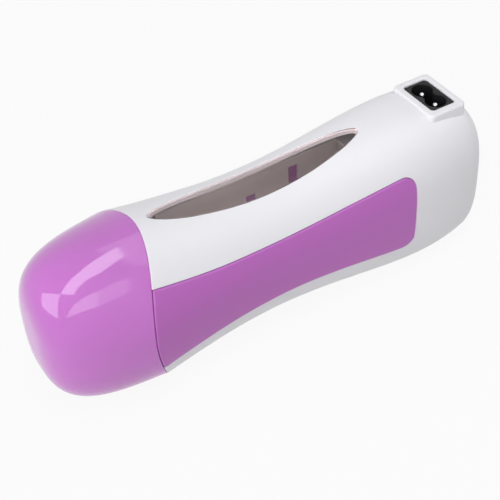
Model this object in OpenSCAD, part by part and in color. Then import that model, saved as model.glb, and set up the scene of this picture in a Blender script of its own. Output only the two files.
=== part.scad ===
// Roll-on wax heater: a waisted hand-held housing that warms a wax cartridge.
// +X runs from the cap to the mains inlet end, +Z up through the wax level window,
// -Y is the side of the near grip panel. The origin is the middle of the footprint.

/* [Housing outline] */
// Length of the white housing, from the side of the cap joint to the butt end
body_len = 160; // [150:1:175]
// Half width at the cap joint
rim_half_w = 30.8; // [29:0.1:34]
// Half width a quarter of the way along
shoulder_half_w = 25.6; // [25:0.1:30]
// Half width at the waist
waist_half_w = 24.2; // [24:0.1:30]
// Half width three quarters of the way along
hip_half_w = 25.3; // [25:0.1:30]
// Half width at the butt end, before its edge is rounded
tail_half_w = 19.9; // [19:0.1:23]
// Height over the parting line at the cap joint
rim_top = 32.6; // [30:0.1:35]
// Height over the parting line a quarter of the way along
shoulder_top = 26.6; // [26:0.1:29]
// Height over the parting line at the waist
waist_top = 26.5; // [26:0.1:29]
// Height over the parting line three quarters of the way along
hip_top = 31.0; // [30:0.1:33]
// Height over the parting line at the butt end
tail_top = 25.8; // [25:0.1:29]
// Depth below the parting line at the cap joint
rim_deep = 33.4; // [31:0.1:36]
// Depth below the parting line a quarter of the way along
shoulder_deep = 29.2; // [28:0.1:32]
// Depth below the parting line at the waist
waist_deep = 30.2; // [28:0.1:32]
// Depth below the parting line three quarters of the way along
hip_deep = 34.8; // [33:0.1:37]
// Depth below the parting line at the butt end
tail_deep = 28.4; // [27:0.1:33]
// Rounding of the butt end's edge
end_round = 9.8; // [7:0.2:12]
// Squareness of the upper section at the cap joint, 2 is an ellipse
top_square = 2.1; // [2:0.1:2.6]
// Squareness of the section's upper half at the cap joint
rim_square = 1.95; // [1.8:0.05:2.3]
// Length past the bowed joint over which it changes to the body's own
rim_fade = 30; // [20:1:40]
// Squareness of the lower section at the cap joint
bottom_square = 2.9; // [2:0.1:3.2]
// How much squarer the section is at the butt end
tail_square = 0.7; // [0:0.1:1.5]
// Wall of the two shells
shell_wall = 2.3; // [2:0.1:3]

/* [Cap] */
// Length of the cap past the side of the joint
cap_len = 35.4; // [32:0.2:42]
// How far the joint line bows back over the top and the bottom
rim_bow = 10.2; // [4:0.2:12]
// Gap between the cap's rim and the housing
joint_gap = 0.3; // [0.2:0.05:0.8]
// Squareness of the cap's outline seen from above
cap_square = 3.2; // [2.2:0.1:4]
// Squareness of the cap's outline seen from the side
cap_square_side = 3.9; // [2.5:0.05:5]
// Change of the cap's half width towards its end, as a share of it
cap_side_taper = -0.27; // [-0.4:0.01:0]
// Change of the cap's height over the parting line towards its end, as a share
cap_top_taper = -0.02; // [-0.4:0.01:0.1]
// Change of the cap's depth under the parting line towards its end, as a share
cap_deep_taper = 0.17; // [-0.2:0.01:0.3]
// Wall of the cap
cap_wall = 1.9; // [1.5:0.1:2.5]

/* [Neck] */
// How far the neck reaches into the cap, from the side of the joint
neck_reach = 13; // [9:0.5:16]
// How far the neck reaches into the shells past the bowed joint
neck_hold = 5; // [3:0.5:8]
// Wall of the neck
neck_wall = 1.8; // [1.4:0.1:2.4]
// Gap between the neck and the cap
cap_gap = 0.4; // [0.3:0.05:0.6]
// Height of the snap bead round the neck
bead_high = 0.2; // [0.1:0.05:0.25]
// Thickness of the plate that holds the chamber in the neck
mouth_plate = 3; // [2:0.5:4]

/* [Window] */
// Start of the wax level window, from the cap joint
window_start = 15.9; // [13:0.1:20]
// End of the wax level window
window_end = 109.1; // [90:0.1:112]
// Half width of the window
window_half_w = 8.4; // [6:0.1:10]
// Thickness of the lens
lens_thick = 1.4; // [1:0.1:1.8]
// Gap round the lens
lens_gap = 0.12; // [0.05:0.01:0.3]
// Depth of the skirt that carries the lens
skirt_deep = 5.0; // [4:0.2:6]
// Wall of the skirt
skirt_wall = 1.6; // [1.2:0.1:2]
// Ledge under the lens
lens_ledge = 0.7; // [0.4:0.1:1]

/* [Grip panels] */
// Half height of a grip panel at the cap joint
panel_rim_h = 17.9; // [15:0.1:20]
// How far a grip panel has risen at the cap joint
panel_rise = 1.5; // [0:0.1:3]
// Half height of a grip panel at the waist
panel_waist_h = 12.6; // [10:0.1:14]
// Half height of a grip panel near its inner end
panel_end_h = 17.6; // [15:0.1:20]
// Where the panel's narrowest place lies
panel_waist_x = 58; // [45:1:70]
// End of the grip panel, from the cap joint
panel_end = 120; // [110:0.5:126]
// Corner radius of the panel's end
panel_corner = 6; // [3:0.5:9]
// Depth of the recess that the panel sits in
panel_recess = 1.3; // [1:0.1:1.5]
// Clearance round a panel
panel_gap = 0.2; // [0.1:0.05:0.4]
// How far the panel stands over the shell
panel_proud = 0.35; // [0.1:0.05:0.6]
// Length of a panel's hook along the housing
hook_len = 4.6; // [3:0.1:6]
// Height of a panel's hook
hook_high = 8.6; // [6:0.1:10]
// Place of the rear hook's middle along the housing
rear_hook_x = 91.4; // [86:0.1:96]
// Height of the rear hook's middle
rear_hook_z = 2.2; // [0:0.1:3]
// Place of the front hook's middle along the housing
front_hook_x = 71; // [66:0.1:76]
// Height of the front hook's middle
front_hook_z = -3.5; // [-5:0.1:0]

/* [Heating chamber] */
// Inner width of the chamber
chamber_w = 40; // [36:0.2:41]
// Inner height of the chamber
chamber_h = 31; // [26:0.2:32]
// Corner radius of the chamber's bore
chamber_round = 12; // [8:0.5:14]
// Height of the chamber's axis over the parting line
chamber_z = 2.1; // [1:0.1:3]
// Inner length of the chamber behind the mouth plate
chamber_len = 116; // [105:1:118]
// Sheet thickness of the chamber
chamber_wall = 0.8; // [0.6:0.1:1.2]
// Width of the chamber's flange round its mouth
flange_w = 3.2; // [3:0.1:4]
// Width of the chamber's open top
chamber_slot_w = 26; // [20:0.5:28]
// Thickness of the pad at the chamber's closed end
stop_thick = 3; // [2:0.5:5]

/* [Heater] */
// Length of one ceramic heating stone
stone_len = 24; // [20:1:28]
// Width of one ceramic heating stone
stone_w = 15; // [12:0.5:18]
// Thickness of one ceramic heating stone
stone_thick = 2.2; // [2:0.1:2.6]
// Gap between the stones
stone_gap = 3; // [2:0.5:5]
// Where the heater's middle lies along the chamber
heater_x = 56; // [50:1:62]
// Thickness of an electrode plate
electrode_thick = 0.4; // [0.3:0.05:0.5]
// Thickness of the insulating film
film_thick = 0.2; // [0.1:0.05:0.3]
// Thickness of the clamping plate
clip_thick = 0.8; // [0.6:0.1:1]

/* [Mains inlet] */
// Distance of the inlet's middle from the butt end
inlet_back = 16.4; // [16:0.1:19]
// Height of the inlet frame's face over the parting line
inlet_face_z = 32; // [31:0.1:33]
// Outer length of the raised frame along the housing
frame_len = 17.6; // [17:0.1:18.4]
// Outer width of the raised frame across the housing
frame_w = 26; // [25.6:0.1:27]
// Corner radius of the raised frame
frame_round = 2.4; // [1.5:0.1:3]
// Rounding of the frame's outer top edge
frame_soft = 1.0; // [0.6:0.1:1.2]
// Length of the black insert along the housing
insert_len = 11.4; // [11:0.1:12]
// Width of the black insert across the housing
insert_w = 19.4; // [19:0.1:20]
// Distance between the two contact pins
pin_pitch = 8.6; // [8.6:0.1:8.6]
// Diameter of a contact pin
pin_d = 2.4; // [2.3:0.1:2.4]
// Radius of each lobe of the figure 8 recess
lobe_r = 4.3; // [4.1:0.1:4.4]
// Depth of the figure 8 recess
socket_deep = 10; // [9:0.5:11]
// How far the pin tips lie below the insert's face
pin_sink = 1.2; // [0.8:0.1:2]
// Depth of the inlet's body below its face
inlet_deep = 14; // [13:0.5:15]

/* [Screws and wiring] */
// Shank diameter of the shell screws
screw_d = 2.6; // [2.2:0.1:3]
// Head diameter of the shell screws
screw_head_d = 5; // [4.5:0.1:5.4]
// Outer diameter of a screw boss
boss_d = 7.4; // [7:0.1:8]
// Diameter of the insulated leads
lead_d = 1.8; // [1.4:0.1:2.2]
// Diameter of the thermal fuse
fuse_d = 3.6; // [3:0.1:4]
// Length of the thermal fuse
fuse_len = 11; // [9:0.5:12]

/* [Hidden] */
eps = 0.01;
body_white = "#eeeef2";
grip_purple = "#b067bd";
cap_purple = "#c983d2";
half_ws = [rim_half_w, shoulder_half_w, waist_half_w, hip_half_w, tail_half_w];
tops = [rim_top, shoulder_top, waist_top, hip_top, tail_top];
deeps = [rim_deep, shoulder_deep, waist_deep, hip_deep, tail_deep];
rim_steps = 18;
length_steps = 22;
round_steps = 5;
panel_steps = 16;
panel_rows = 5;
cap_steps = 11;
cap_sides = 40;
neck_sides = 36;
core_steps = 8;
core_sides = 23;
lens_steps = 22;
lens_rows = 4;
eye_sides = 44;
// How pointed the window's ends are, 1 is an ellipse
eye_point = 1.06;
// Clearance of parts that are fitted into each other
fit_gap = 0.1;
// How far a cutter reaches past what it cuts
cut_over = 1;
// Gap at the parting line, so that the screws pull the shells up
seam_gap = 0.1;
// Floor of the part, at its lowest place
floor_z = -max([for (i = [0 : 60]) deep_h(body_len * i / 60)]);
mid_x = (body_len - cap_len) / 2;
// Depth under the surface at which the neck's outer wall runs, clear of the cap and the shells
neck_in = max(cap_wall + cap_gap, shell_wall + fit_gap);
// How far the mouth plate's back lies in front of the joint
plate_back = 1;
// Chamfer of the neck's lip, along it and across
lip_len = 0.8;
lip_drop = 0.6;
// Half length of the snap bead, and its place as a share of the neck's reach
bead_half = 1;
bead_share = 0.6;
// How much wider the mouth plate's opening is than the chamber's bore, all round
mouth_slack = 0.5;
// How much wider a hole is that a small screw passes, and how much thinner its shank than its pilot hole
screw_slack = 0.3;
shank_slack = 0.2;
collar_screw_d = 1.8;
collar_head = 1.2;
collar_head_d = 3.2;
collar_bite = 0.7 * mouth_plate;
collar_hole = 0.8 * mouth_plate;
// The collar screws sit on the flange, two over and two under the bore
collar_screw_y = 5;
collar_screw_z = chamber_h / 2 + chamber_wall + flange_w / 2;
// Share of the cap's length that its inner surface reaches
cap_inner_share = 0.95;
// Underside of the window's skirt
skirt_floor = waist_top - skirt_deep;
// The chamber's front, at the back of the mouth plate, and its closed end
chamber_front = -plate_back;
chamber_back = chamber_front + chamber_len + 2 * chamber_wall;
under_chamber = chamber_z - chamber_h / 2 - chamber_wall;
// The chamber's open top starts and ends inside the window
slot_in = 2;
stop_gap = 0.3;
// The lens's last stations lie just short of its points, and it rests on a hair of adhesive
lens_angle = 88.5;
lens_seat = 0.02;
// The grip panels' hooks end just outside the chamber's walls
hook_gap = 0.15;
hook_tip_y = chamber_w / 2 + chamber_wall + hook_gap;
hooks = [[rear_hook_x, rear_hook_z], [front_hook_x, front_hook_z]];
// How far the frame's wall reaches below the inlet's body
frame_under = 2;
frame_root_z = inlet_face_z - inlet_deep - frame_under;
insert_round = 1.6;
inlet_x = body_len - inlet_back;
// Height of the joint between the shells' screw bosses, and of the screw heads
screw_land = -4;
screw_bite = 14;
screw_end_gap = 2;
screw_head_z = -14;
screw_head_h = 2;
// The cross slot in the shell screws' heads
slot_len = 2.8;
slot_wide = 0.6;
// The bosses stand behind the chamber near the sides, and behind the inlet
boss_gap = 2.8;
side_boss_y = 15.5;
butt_boss_in = 9;
butt_boss_y = 8;
screw_places = [for (y = [-1, 1]) each [[chamber_back + boss_gap + boss_d / 2, y * side_boss_y],
    [body_len - butt_boss_in, y * butt_boss_y]]];
heater_len = 2 * stone_len + stone_gap;
// The heater's layers, from the chamber down
film_top = under_chamber;
upper_electrode = film_top - film_thick - electrode_thick;
stone_floor = upper_electrode - stone_thick;
lower_electrode = stone_floor - electrode_thick;
film_floor = lower_electrode - film_thick;
// The film reaches past the stones at its ends and sides
film_over = 2;
film_side = 1;
tag_len = 7;
tag_w = 3;
tag_y = 5.5;
// The chamber's brackets end level with the film, and carry the clamping plate
bracket_drop = film_top - film_floor;
bracket_len = 6;
bracket_wide = 5;
bracket_in = 4;
clip_screw_d = 2;
clip_bite = bracket_drop - 0.8;
clip_hole = bracket_drop - 0.4;
// The clamping plate reaches past the stones at both ends
clip_over = 5;
clip_len = heater_len + 2 * clip_over;
clip_w = stone_w + 2 * film_side;
clip_reach = chamber_w / 2 - bracket_in;
clip_rib = 1.5;
clip_bracket_xs = [heater_x - clip_len / 2 + bracket_len, heater_x + clip_len / 2 - bracket_len];
// The chamber's pads stand behind the neck and at the closed end
pad_d = 8;
pad_gap = 0.5;
pad_places = [rim_bow + neck_hold + pad_d / 2 + pad_gap, chamber_back - pad_d / 2 - 2 * pad_gap];
// The fuse lies behind the heater, in line with the upper electrode's tag
fuse_wire_d = 1;
fuse_wire_len = 6;
tag_end = heater_x + heater_len / 2 + tag_len;
fuse_x = tag_end + fuse_wire_len;
fuse_z = under_chamber - fuse_d;
sleeve_wall = 0.7;
sleeve_over = 1.5;
// The black insert's face, and the pins' thicker roots and tags
insert_sink = 0.5;
insert_face_z = inlet_face_z - insert_sink;
pin_root_d = pin_d + 0.8;
socket_floor_z = insert_face_z - socket_deep;
inlet_under_z = inlet_face_z - inlet_deep;
tag_deep = 6;
tag_wide = 4;
tag_thick = 0.8;
terminal = [5.4, 2.8, 8];
terminal_gap = 0.5;
terminal_top_z = inlet_under_z - terminal_gap;
terminal_floor_z = terminal_top_z - terminal[2];
lead_bend = 3;
lead_sides = 8;
// The leads run behind the chamber, spread and low before the inlet, then rise to the terminals
lead_behind = 2;
lead_before = 9;
lead_spread = 1;
lead_low_z = -8;
lead_rise = 6;
// Half width of the web between the socket's lobes, as a share of their radius
waist_share = 0.62;

// ---- the housing's outline ----

// A signed power, for superellipses
function spow(v, p) = sign(v) * pow(abs(v), p);
// The curve of fourth degree through five stations spread evenly along the housing
function weight(i, u) = [for (j = [0 : 4]) if (j != i) (u - j) / (i - j)];
function product(v, i = 0) = i == len(v) ? 1 : v[i] * product(v, i + 1);
function along(stations, x) = let (u = 4 * x / body_len)
    stations * [for (i = [0 : 4]) product(weight(i, u))];
// How far the rounded butt edge draws the section in
function drawn_in(x) = let (into = x - (body_len - end_round))
    into <= 0 ? 0 : end_round - sqrt(max(0, end_round * end_round - into * into));
function half_w(x) = along(half_ws, x) - drawn_in(x);
function top_h(x) = along(tops, x) - drawn_in(x);
function deep_h(x) = along(deeps, x) - drawn_in(x);
function squareness(x, a) = let (more = tail_square * pow(max(x, 0) / body_len, 2),
    u = min(1, max(0, x - rim_bow) / rim_fade), kept = 1 - u * u * (3 - 2 * u))
    a <= 180 ? top_square + (rim_square - top_square) * kept + more : bottom_square + more / 2;
// A point of the section at x, at angle a from +Y over the top, d under the surface
function on_body(x, a, d = 0) = let (p = 2 / squareness(x, a), h = a <= 180 ? top_h(x) : deep_h(x))
    [x, (half_w(x) - d) * spow(cos(a), p), (h - d) * spow(sin(a), p)];
// Height of the upper surface over the point (x, y)
function roof_z(x, y, d = 0) = let (n = squareness(x, 90))
    (top_h(x) - d) * pow(max(0, 1 - pow(abs(y) / (half_w(x) - d), n)), 1 / n);
// Distance of the side surface from the middle plane at (x, z)
function side_y(x, z, d = 0) = let (n = squareness(x, z >= 0 ? 90 : 270), h = z >= 0 ? top_h(x) : deep_h(x))
    (half_w(x) - d) * pow(max(0, 1 - pow(abs(z) / (h - d), n)), 1 / n);
// Place of the bowed joint line at angle a
function joint_x(a) = rim_bow * pow(abs(sin(a)), 4 / squareness(0, a));

// ---- solids made of rings of points ----

function flat(rows) = [for (row = rows) for (p = row) p];
// Two triangles for each square of a grid of rows times cols points; wrap joins its last column
function grid_faces(rows, cols, first = 0, wrap = true, turned = false) =
    [for (i = [0 : rows - 2]) for (j = [0 : cols - (wrap ? 1 : 2)])
        let (k = (j + 1) % cols, a = first + i * cols + j, b = first + i * cols + k,
            c = a + cols, d = b + cols)
        each turned ? [[a, b, c], [b, d, c]] : [[a, c, b], [b, c, d]]];
// A solid through closed rings of points. Each ring runs out and back, so its
// ends are closed by strips between points that face each other.
module skin(rings) {
    cols = len(rings[0]);
    last = (len(rings) - 1) * cols;
    strips = [for (j = [0 : cols / 2 - 2]) let (k = cols - 1 - j)
        each [[j, j + 1, k], [j + 1, k - 1, k]]];
    polyhedron(flat(rings), concat(grid_faces(len(rings), cols), strips,
        [for (f = strips) [last + f[2], last + f[1], last + f[0]]]));
}
// A solid through closed rings of points whose last ring meets the first
module skin_loop(rings) {
    cols = len(rings[0]);
    polyhedron(flat(concat(rings, [rings[0]])), grid_faces(len(rings) + 1, cols));
}

// ---- the shells ----

function steps(n, first, last) = [for (i = [0 : n]) first + (last - first) * i / n];
// Stations along the housing: even down its length, then round the butt edge
function stations() = concat(steps(length_steps, 0, 1 - end_round / body_len),
    [for (i = [1 : round_steps]) 1 - end_round * (1 - sin(90 * i / round_steps)) / body_len]);
// Half of the housing over the angles a0 to a0 + 180, its wall open at the joint line
module half_shell(a0) {
    at = stations();
    angles = steps(rim_steps, a0, a0 + 180);
    rows = len(at);
    cols = rim_steps + 1;
    outer = [for (s = at) [for (a = angles) let (x0 = joint_x(a) + joint_gap)
        on_body(x0 + (body_len - x0) * s, a)]];
    inner = [for (s = at) [for (a = angles) let (x0 = joint_x(a) + joint_gap)
        inner_point(x0 + (body_len - shell_wall - x0) * s, a)]];
    n = rows * cols;
    end = n - cols;
    polyhedron(flat(concat(outer, inner)), concat(
        grid_faces(rows, cols, 0, false), grid_faces(rows, cols, n, false, true),
        [for (j = [0 : cols - 2]) each [[j, j + 1, n + j], [j + 1, n + j + 1, n + j]]],
        [for (i = [0 : rows - 2]) let (o = i * cols, p = o + cols)
            each [[o, n + o, p], [p, n + o, n + p]]],
        [for (i = [0 : rows - 2]) let (o = i * cols + cols - 1, p = o + cols)
            each [[o, p, n + o], [p, n + p, n + o]]],
        [[for (j = [cols - 1 : -1 : 0]) end + j], [for (j = [0 : cols - 1]) n + end + j],
            [end + cols - 1, end, n + end, n + end + cols - 1]]));
}
// A point of the shells' inner surface, whose butt edge is rounded by the wall less
function inner_point(x, a) = let (p = 2 / squareness(x, a), r = end_round - shell_wall,
    into = x - (body_len - shell_wall - r), draw = into <= 0 ? 0 : r - sqrt(max(0, r * r - into * into)),
    w = along(half_ws, x), h = a <= 180 ? along(tops, x) : along(deeps, x))
    [x, (w - shell_wall - draw) * spow(cos(a), p), (h - shell_wall - draw) * spow(sin(a), p)];
// A plain solid d under the surface from x0 to x1, to trim what stands inside the housing
module core(d, x0, x1) {
    at = steps(core_steps, x0, x1);
    skin([for (x = at) [for (a = steps(core_sides, 0, 360 - 360 / (core_sides + 1))) on_body(x, a, d)]]);
}
// Half height of a grip panel at x, its end corners rounded
function panel_h(x) = let (u = (x - panel_waist_x) / panel_waist_x,
    v = (x - panel_waist_x) / (panel_end - panel_waist_x), into = x - (panel_end - panel_corner))
    (x < panel_waist_x ? panel_waist_h + (panel_rim_h - panel_waist_h) * u * u
        : panel_waist_h + (panel_end_h - panel_waist_h) * (1 - pow(1 - v, 2)) * v)
    - (into <= 0 ? 0 : panel_corner - sqrt(max(0, panel_corner * panel_corner - into * into)));
// A patch of the housing's side that starts past the joint line by start, grown by
// more along its other edges, from the inner to the outer depth
module side_patch(start, more, inner, outer) {
    last = panel_end + more;
    even = steps(panel_steps, 0, (last - panel_corner - start) / (last - start));
    at = concat(even, [for (i = [1 : 4]) let (e = even[panel_steps]) e + (1 - e) * sin(90 * i / 4)]);
    function place(s, v, d) = let (first_z = v * panel_rim_h + panel_rise,
        share = first_z / (first_z > 0 ? rim_top : rim_deep),
        x0 = start + rim_bow * share * share, x = x0 + (last - x0) * s,
        rise = panel_rise * pow(max(0, 1 - x / panel_waist_x), 2),
        z = v * (panel_h(min(x, panel_end)) + more) + rise) [x, -side_y(x, z, d), z];
    skin([for (s = at) concat(
        [for (v = steps(panel_rows, -1, 1)) place(s, v, inner)],
        [for (v = steps(panel_rows, 1, -1)) place(s, v, outer)])]);
}
// Both sides' copies of what is drawn for the near side
module both_sides() {
    children();
    mirror([0, 1, 0]) children();
}
// The eye-shaped outline of the window, grown by more, between two heights
module eye(more) {
    half = (window_end - window_start) / 2;
    polygon([for (i = [0 : eye_sides - 1]) let (a = 360 * i / eye_sides)
        [window_start + half + (half + more) * cos(a), (window_half_w + more) * spow(sin(a), eye_point)]]);
}
// The skirt that carries the lens: its top follows the roof under the lens
module window_skirt() {
    half = (window_end - window_start) / 2;
    function place(a, more, d, floor) = let (
        x = window_start + half + (half + more) * cos(a),
        y = (window_half_w + more) * spow(sin(a), eye_point)) [x, y, floor ? skirt_floor : roof_z(x, y, d)];
    skin_loop([for (i = [0 : eye_sides - 1]) let (a = 360 * i / eye_sides)
        [place(a, -lens_ledge, lens_thick, false), place(a, skirt_wall, lens_thick, false),
            place(a, skirt_wall, 0, true), place(a, -lens_ledge, 0, true)]]);
}
// A box with rounded upright edges, centred on x and y
module rounded_box(l, w, h, r) {
    linear_extrude(h) rounded_plate(l, w, r);
}
module rounded_plate(l, w, r) {
    square([l - 2 * r, w], center = true);
    square([l, w - 2 * r], center = true);
    for (x = [-1, 1])
        for (y = [-1, 1]) translate([x * (l / 2 - r), y * (w / 2 - r)]) circle(r, $fn = 32);
}
// The raised frame round the inlet, its outer top edge rounded off
module inlet_frame() {
    soft_steps = 3;
    translate([inlet_x, 0, frame_root_z])
        rounded_box(frame_len, frame_w, inlet_face_z - frame_soft - frame_root_z, frame_round);
    for (i = [1 : soft_steps]) {
        a = 90 * (i - 0.5) / soft_steps;
        drawn = frame_soft * (1 - cos(a));
        high = frame_soft * sin(90 * i / soft_steps) + eps;
        translate([inlet_x, 0, inlet_face_z - frame_soft - eps])
            rounded_box(frame_len - 2 * drawn, frame_w - 2 * drawn, high, frame_round - drawn);
    }
}
// Places of the shell screws
module at_screws() {
    for (p = screw_places) translate([p[0], p[1], 0]) children();
}
module front_shell() color(body_white) {
    difference() {
        union() {
            difference() {
                half_shell(0);
                both_sides() side_patch(-cut_over, panel_gap, panel_recess, -panel_proud - cut_over);
                translate([0, 0, skirt_floor]) linear_extrude(2 * rim_top) eye(0);
            }
            window_skirt();
            inlet_frame();
            intersection() {
                at_screws() translate([0, 0, screw_land]) cylinder(h = rim_top, d = boss_d, $fn = 40);
                core(shell_wall / 2, chamber_back, body_len - shell_wall);
            }
        }
        at_screws() translate([0, 0, screw_land - eps]) cylinder(h = screw_bite, d = screw_d, $fn = 32);
        translate([inlet_x, 0, frame_root_z - eps])
            rounded_box(insert_len + 2 * fit_gap, insert_w + 2 * fit_gap, rim_top, insert_round + fit_gap);
        both_sides() panel_hooks(fit_gap);
    }
}
module rear_shell() color(body_white) difference() {
    union() {
        difference() {
            half_shell(180);
            both_sides() side_patch(-cut_over, panel_gap, panel_recess, -panel_proud - cut_over);
        }
        intersection() {
            at_screws() translate([0, 0, -2 * rim_deep])
                cylinder(h = 2 * rim_deep + screw_land - seam_gap, d = boss_d, $fn = 40);
            core(shell_wall / 2, chamber_back, body_len - shell_wall);
        }
    }
    at_screws() translate([0, 0, -2 * rim_deep])
        cylinder(h = 2 * rim_deep + screw_land + eps, d = screw_d + 2 * fit_gap, $fn = 32);
    at_screws() translate([0, 0, -2 * rim_deep])
        cylinder(h = 2 * rim_deep + screw_head_z, d = screw_head_d + 2 * fit_gap, $fn = 32);
    both_sides() panel_hooks(fit_gap);
}
// The two hooks of a grip panel, which reach through the shell to the chamber
module panel_hooks(more) {
    for (h = hooks) {
        depth = side_y(h[0], h[1], panel_recess / 2) - hook_tip_y;
        translate([h[0] - hook_len / 2 - more, -hook_tip_y - depth, h[1] - hook_high / 2 - more])
            cube([hook_len + 2 * more, depth + eps, hook_high + 2 * more]);
    }
}
module grip_panel() {
    side_patch(joint_gap, 0, panel_recess - fit_gap, -panel_proud);
    panel_hooks(0);
}
module grip_panel_near() color(grip_purple) grip_panel();
module grip_panel_far() color(grip_purple) mirror([0, 1, 0]) grip_panel();

// ---- cap and neck ----

// How far the cap's section has shrunk at the share s of its length
function shrink(s, square, taper) = (1 + taper * s) * pow(max(0, 1 - pow(s, square)), 1 / square);
// A point d under the cap's surface: s runs from the joint line to the tip. What
// slides in the cap has swell false, so that it never gets wider than the joint.
function on_cap(s, a, d = 0, swell = true) = let (x0 = joint_x(a), p = 2 / squareness(0, a), over = a <= 180,
    w = along(half_ws, x0), h = over ? along(tops, x0) : along(deeps, x0),
    tall = shrink(s, cap_square_side, over ? cap_top_taper : cap_deep_taper),
    kept = swell ? tall : min(1, tall))
    [x0 - (x0 + cap_len) * s, (w * shrink(s, cap_square, cap_side_taper) - d) * spow(cos(a), p),
        (h * kept - d) * spow(sin(a), p)];
// A point of the neck at x, d under the surface
function on_neck(x, a, d) = x > joint_x(a) ? on_body(x, a, d)
    : on_cap((joint_x(a) - x) / (joint_x(a) + cap_len), a, d, false);
module cap() color(cap_purple) {
    at = concat(steps(cap_steps, 0, 0.85), [0.9, 0.94, 0.97, 0.985]);
    tips = [[-cap_len, 0, 0], [-cap_len * cap_inner_share, 0, 0]];
    angles = [for (i = [0 : cap_sides - 1]) 360 * i / cap_sides];
    rows = len(at);
    n = rows * cap_sides;
    outer = [for (s = at) [for (a = angles) on_cap(s, a)]];
    inner = [for (s = at) [for (a = angles) on_cap(s * cap_inner_share, a, cap_wall)]];
    last = n - cap_sides;
    polyhedron(concat(flat(outer), flat(inner), tips), concat(
        grid_faces(rows, cap_sides, 0, true, true), grid_faces(rows, cap_sides, n, true),
        [for (j = [0 : cap_sides - 1]) let (k = (j + 1) % cap_sides)
            each [[j, n + j, k], [k, n + j, n + k],
                [last + j, last + k, 2 * n], [n + last + j, 2 * n + 1, n + last + k]]]));
}
// The neck: a tube under the cap and the shells' front edge, with a snap bead and the mouth plate
module neck_collar() color(body_white) {
    back = rim_bow + neck_hold;
    bead_x = -neck_reach * bead_share;
    profile = [[-neck_reach, lip_drop], [lip_len - neck_reach, 0], [bead_x - bead_half, 0],
        [bead_x, -bead_high], [bead_x + bead_half, 0], [0, 0], [rim_bow / 2, 0], [back, 0]];
    angles = [for (i = [0 : neck_sides - 1]) 360 * i / neck_sides];
    difference() {
        union() {
            skin_loop(concat([for (b = profile) [for (a = angles) on_neck(b[0], a, neck_in + b[1])]],
                [for (x = [back, 0, -neck_reach]) [for (a = angles) on_neck(x, a, neck_in + neck_wall)]]));
            skin([for (x = [-plate_back - mouth_plate, -plate_back])
                [for (a = angles) on_neck(x, a, neck_in + neck_wall / 2)]]);
        }
        translate([-plate_back - mouth_plate - eps, 0, chamber_z]) rotate([0, 90, 0])
            rounded_box(chamber_h + 2 * mouth_slack, chamber_w + 2 * mouth_slack, mouth_plate + 2 * eps,
                chamber_round + mouth_slack);
        at_collar_screws() translate([0, 0, -eps]) cylinder(h = collar_hole, d = collar_screw_d, $fn = 24);
    }
}
// Places of the collar screws, drilling towards the cap
module at_collar_screws() {
    for (y = [-1, 1])
        for (z = [-1, 1])
            translate([-plate_back, y * collar_screw_y, chamber_z + z * collar_screw_z])
                rotate([0, -90, 0]) children();
}
module collar_screws() color("silver") at_collar_screws() {
    translate([0, 0, -chamber_wall - collar_head]) cylinder(h = collar_head, d = collar_head_d, $fn = 24);
    translate([0, 0, -chamber_wall - eps])
        cylinder(h = chamber_wall + collar_bite, d = collar_screw_d - shank_slack, $fn = 24);
}
module window_lens() {
    half = (window_end - window_start) / 2 - lens_gap;
    function place(c, v, d) = let (x = window_start + half + lens_gap + half * c,
        y = v * (window_half_w - lens_gap) * pow(1 - c * c, eye_point / 2)) [x, y, roof_z(x, y, d)];
    cs = [for (turn = steps(lens_steps, -lens_angle, lens_angle)) sin(turn)];
    color([0.35, 0.3, 0.32, 0.6])
        skin([for (c = cs) concat([for (v = steps(lens_rows, -1, 1)) place(c, v, lens_thick - lens_seat)],
            [for (v = steps(lens_rows, 1, -1)) place(c, v, 0)])]);
}

// ---- heating chamber and heater ----

// The chamber's section as a plate in the YZ plane, grown by more
module chamber_plate(x, thick, more) {
    translate([x, 0, chamber_z]) rotate([0, 90, 0])
        rounded_box(chamber_h + 2 * more, chamber_w + 2 * more, thick, chamber_round + more);
}
module heating_chamber() color("#b9b7b5") difference() {
    union() {
        chamber_plate(chamber_front, chamber_len + 2 * chamber_wall, chamber_wall);
        chamber_plate(chamber_front, chamber_wall, chamber_wall + flange_w);
        both_sides() for (x = clip_bracket_xs)
            translate([x - bracket_len / 2, -chamber_w / 2 + bracket_in, film_floor])
                cube([bracket_len, bracket_wide, bracket_drop + chamber_round / 2]);
    }
    chamber_plate(chamber_front - eps, chamber_len + chamber_wall + eps, 0);
    // the open top under the window
    translate([window_start + slot_in, -chamber_slot_w / 2, chamber_z])
        cube([window_end - window_start - 2 * slot_in, chamber_slot_w, chamber_h]);
    // slots where the grip panels' hooks show
    both_sides() for (h = hooks)
        translate([h[0] - hook_len / 2, -chamber_w / 2 - 2 * chamber_wall, h[1] - hook_high / 2])
            cube([hook_len, 4 * chamber_wall, hook_high]);
    at_clip_screws() translate([0, 0, -eps]) cylinder(h = clip_hole, d = clip_screw_d, $fn = 24);
    at_collar_screws() translate([0, 0, -2 * chamber_wall])
        cylinder(h = 4 * chamber_wall, d = collar_screw_d + screw_slack, $fn = 24);
}
module cartridge_stop() color("#d8d4cf")
    chamber_plate(chamber_back - chamber_wall - stop_thick, stop_thick, -stop_gap);
module chamber_pads() color("#d8d4cf")
    for (x = pad_places) {
        foot = fit_gap + shell_wall - min(deep_h(x - pad_d / 2), deep_h(x + pad_d / 2));
        translate([x, 0, foot]) cylinder(h = under_chamber - foot, d = pad_d, $fn = 40);
    }
module ptc_stones() color("#8d8f94")
    for (i = [0, 1])
        translate([heater_x - heater_len / 2 + i * (stone_len + stone_gap), -stone_w / 2, stone_floor])
            cube([stone_len, stone_w, stone_thick]);
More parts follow.
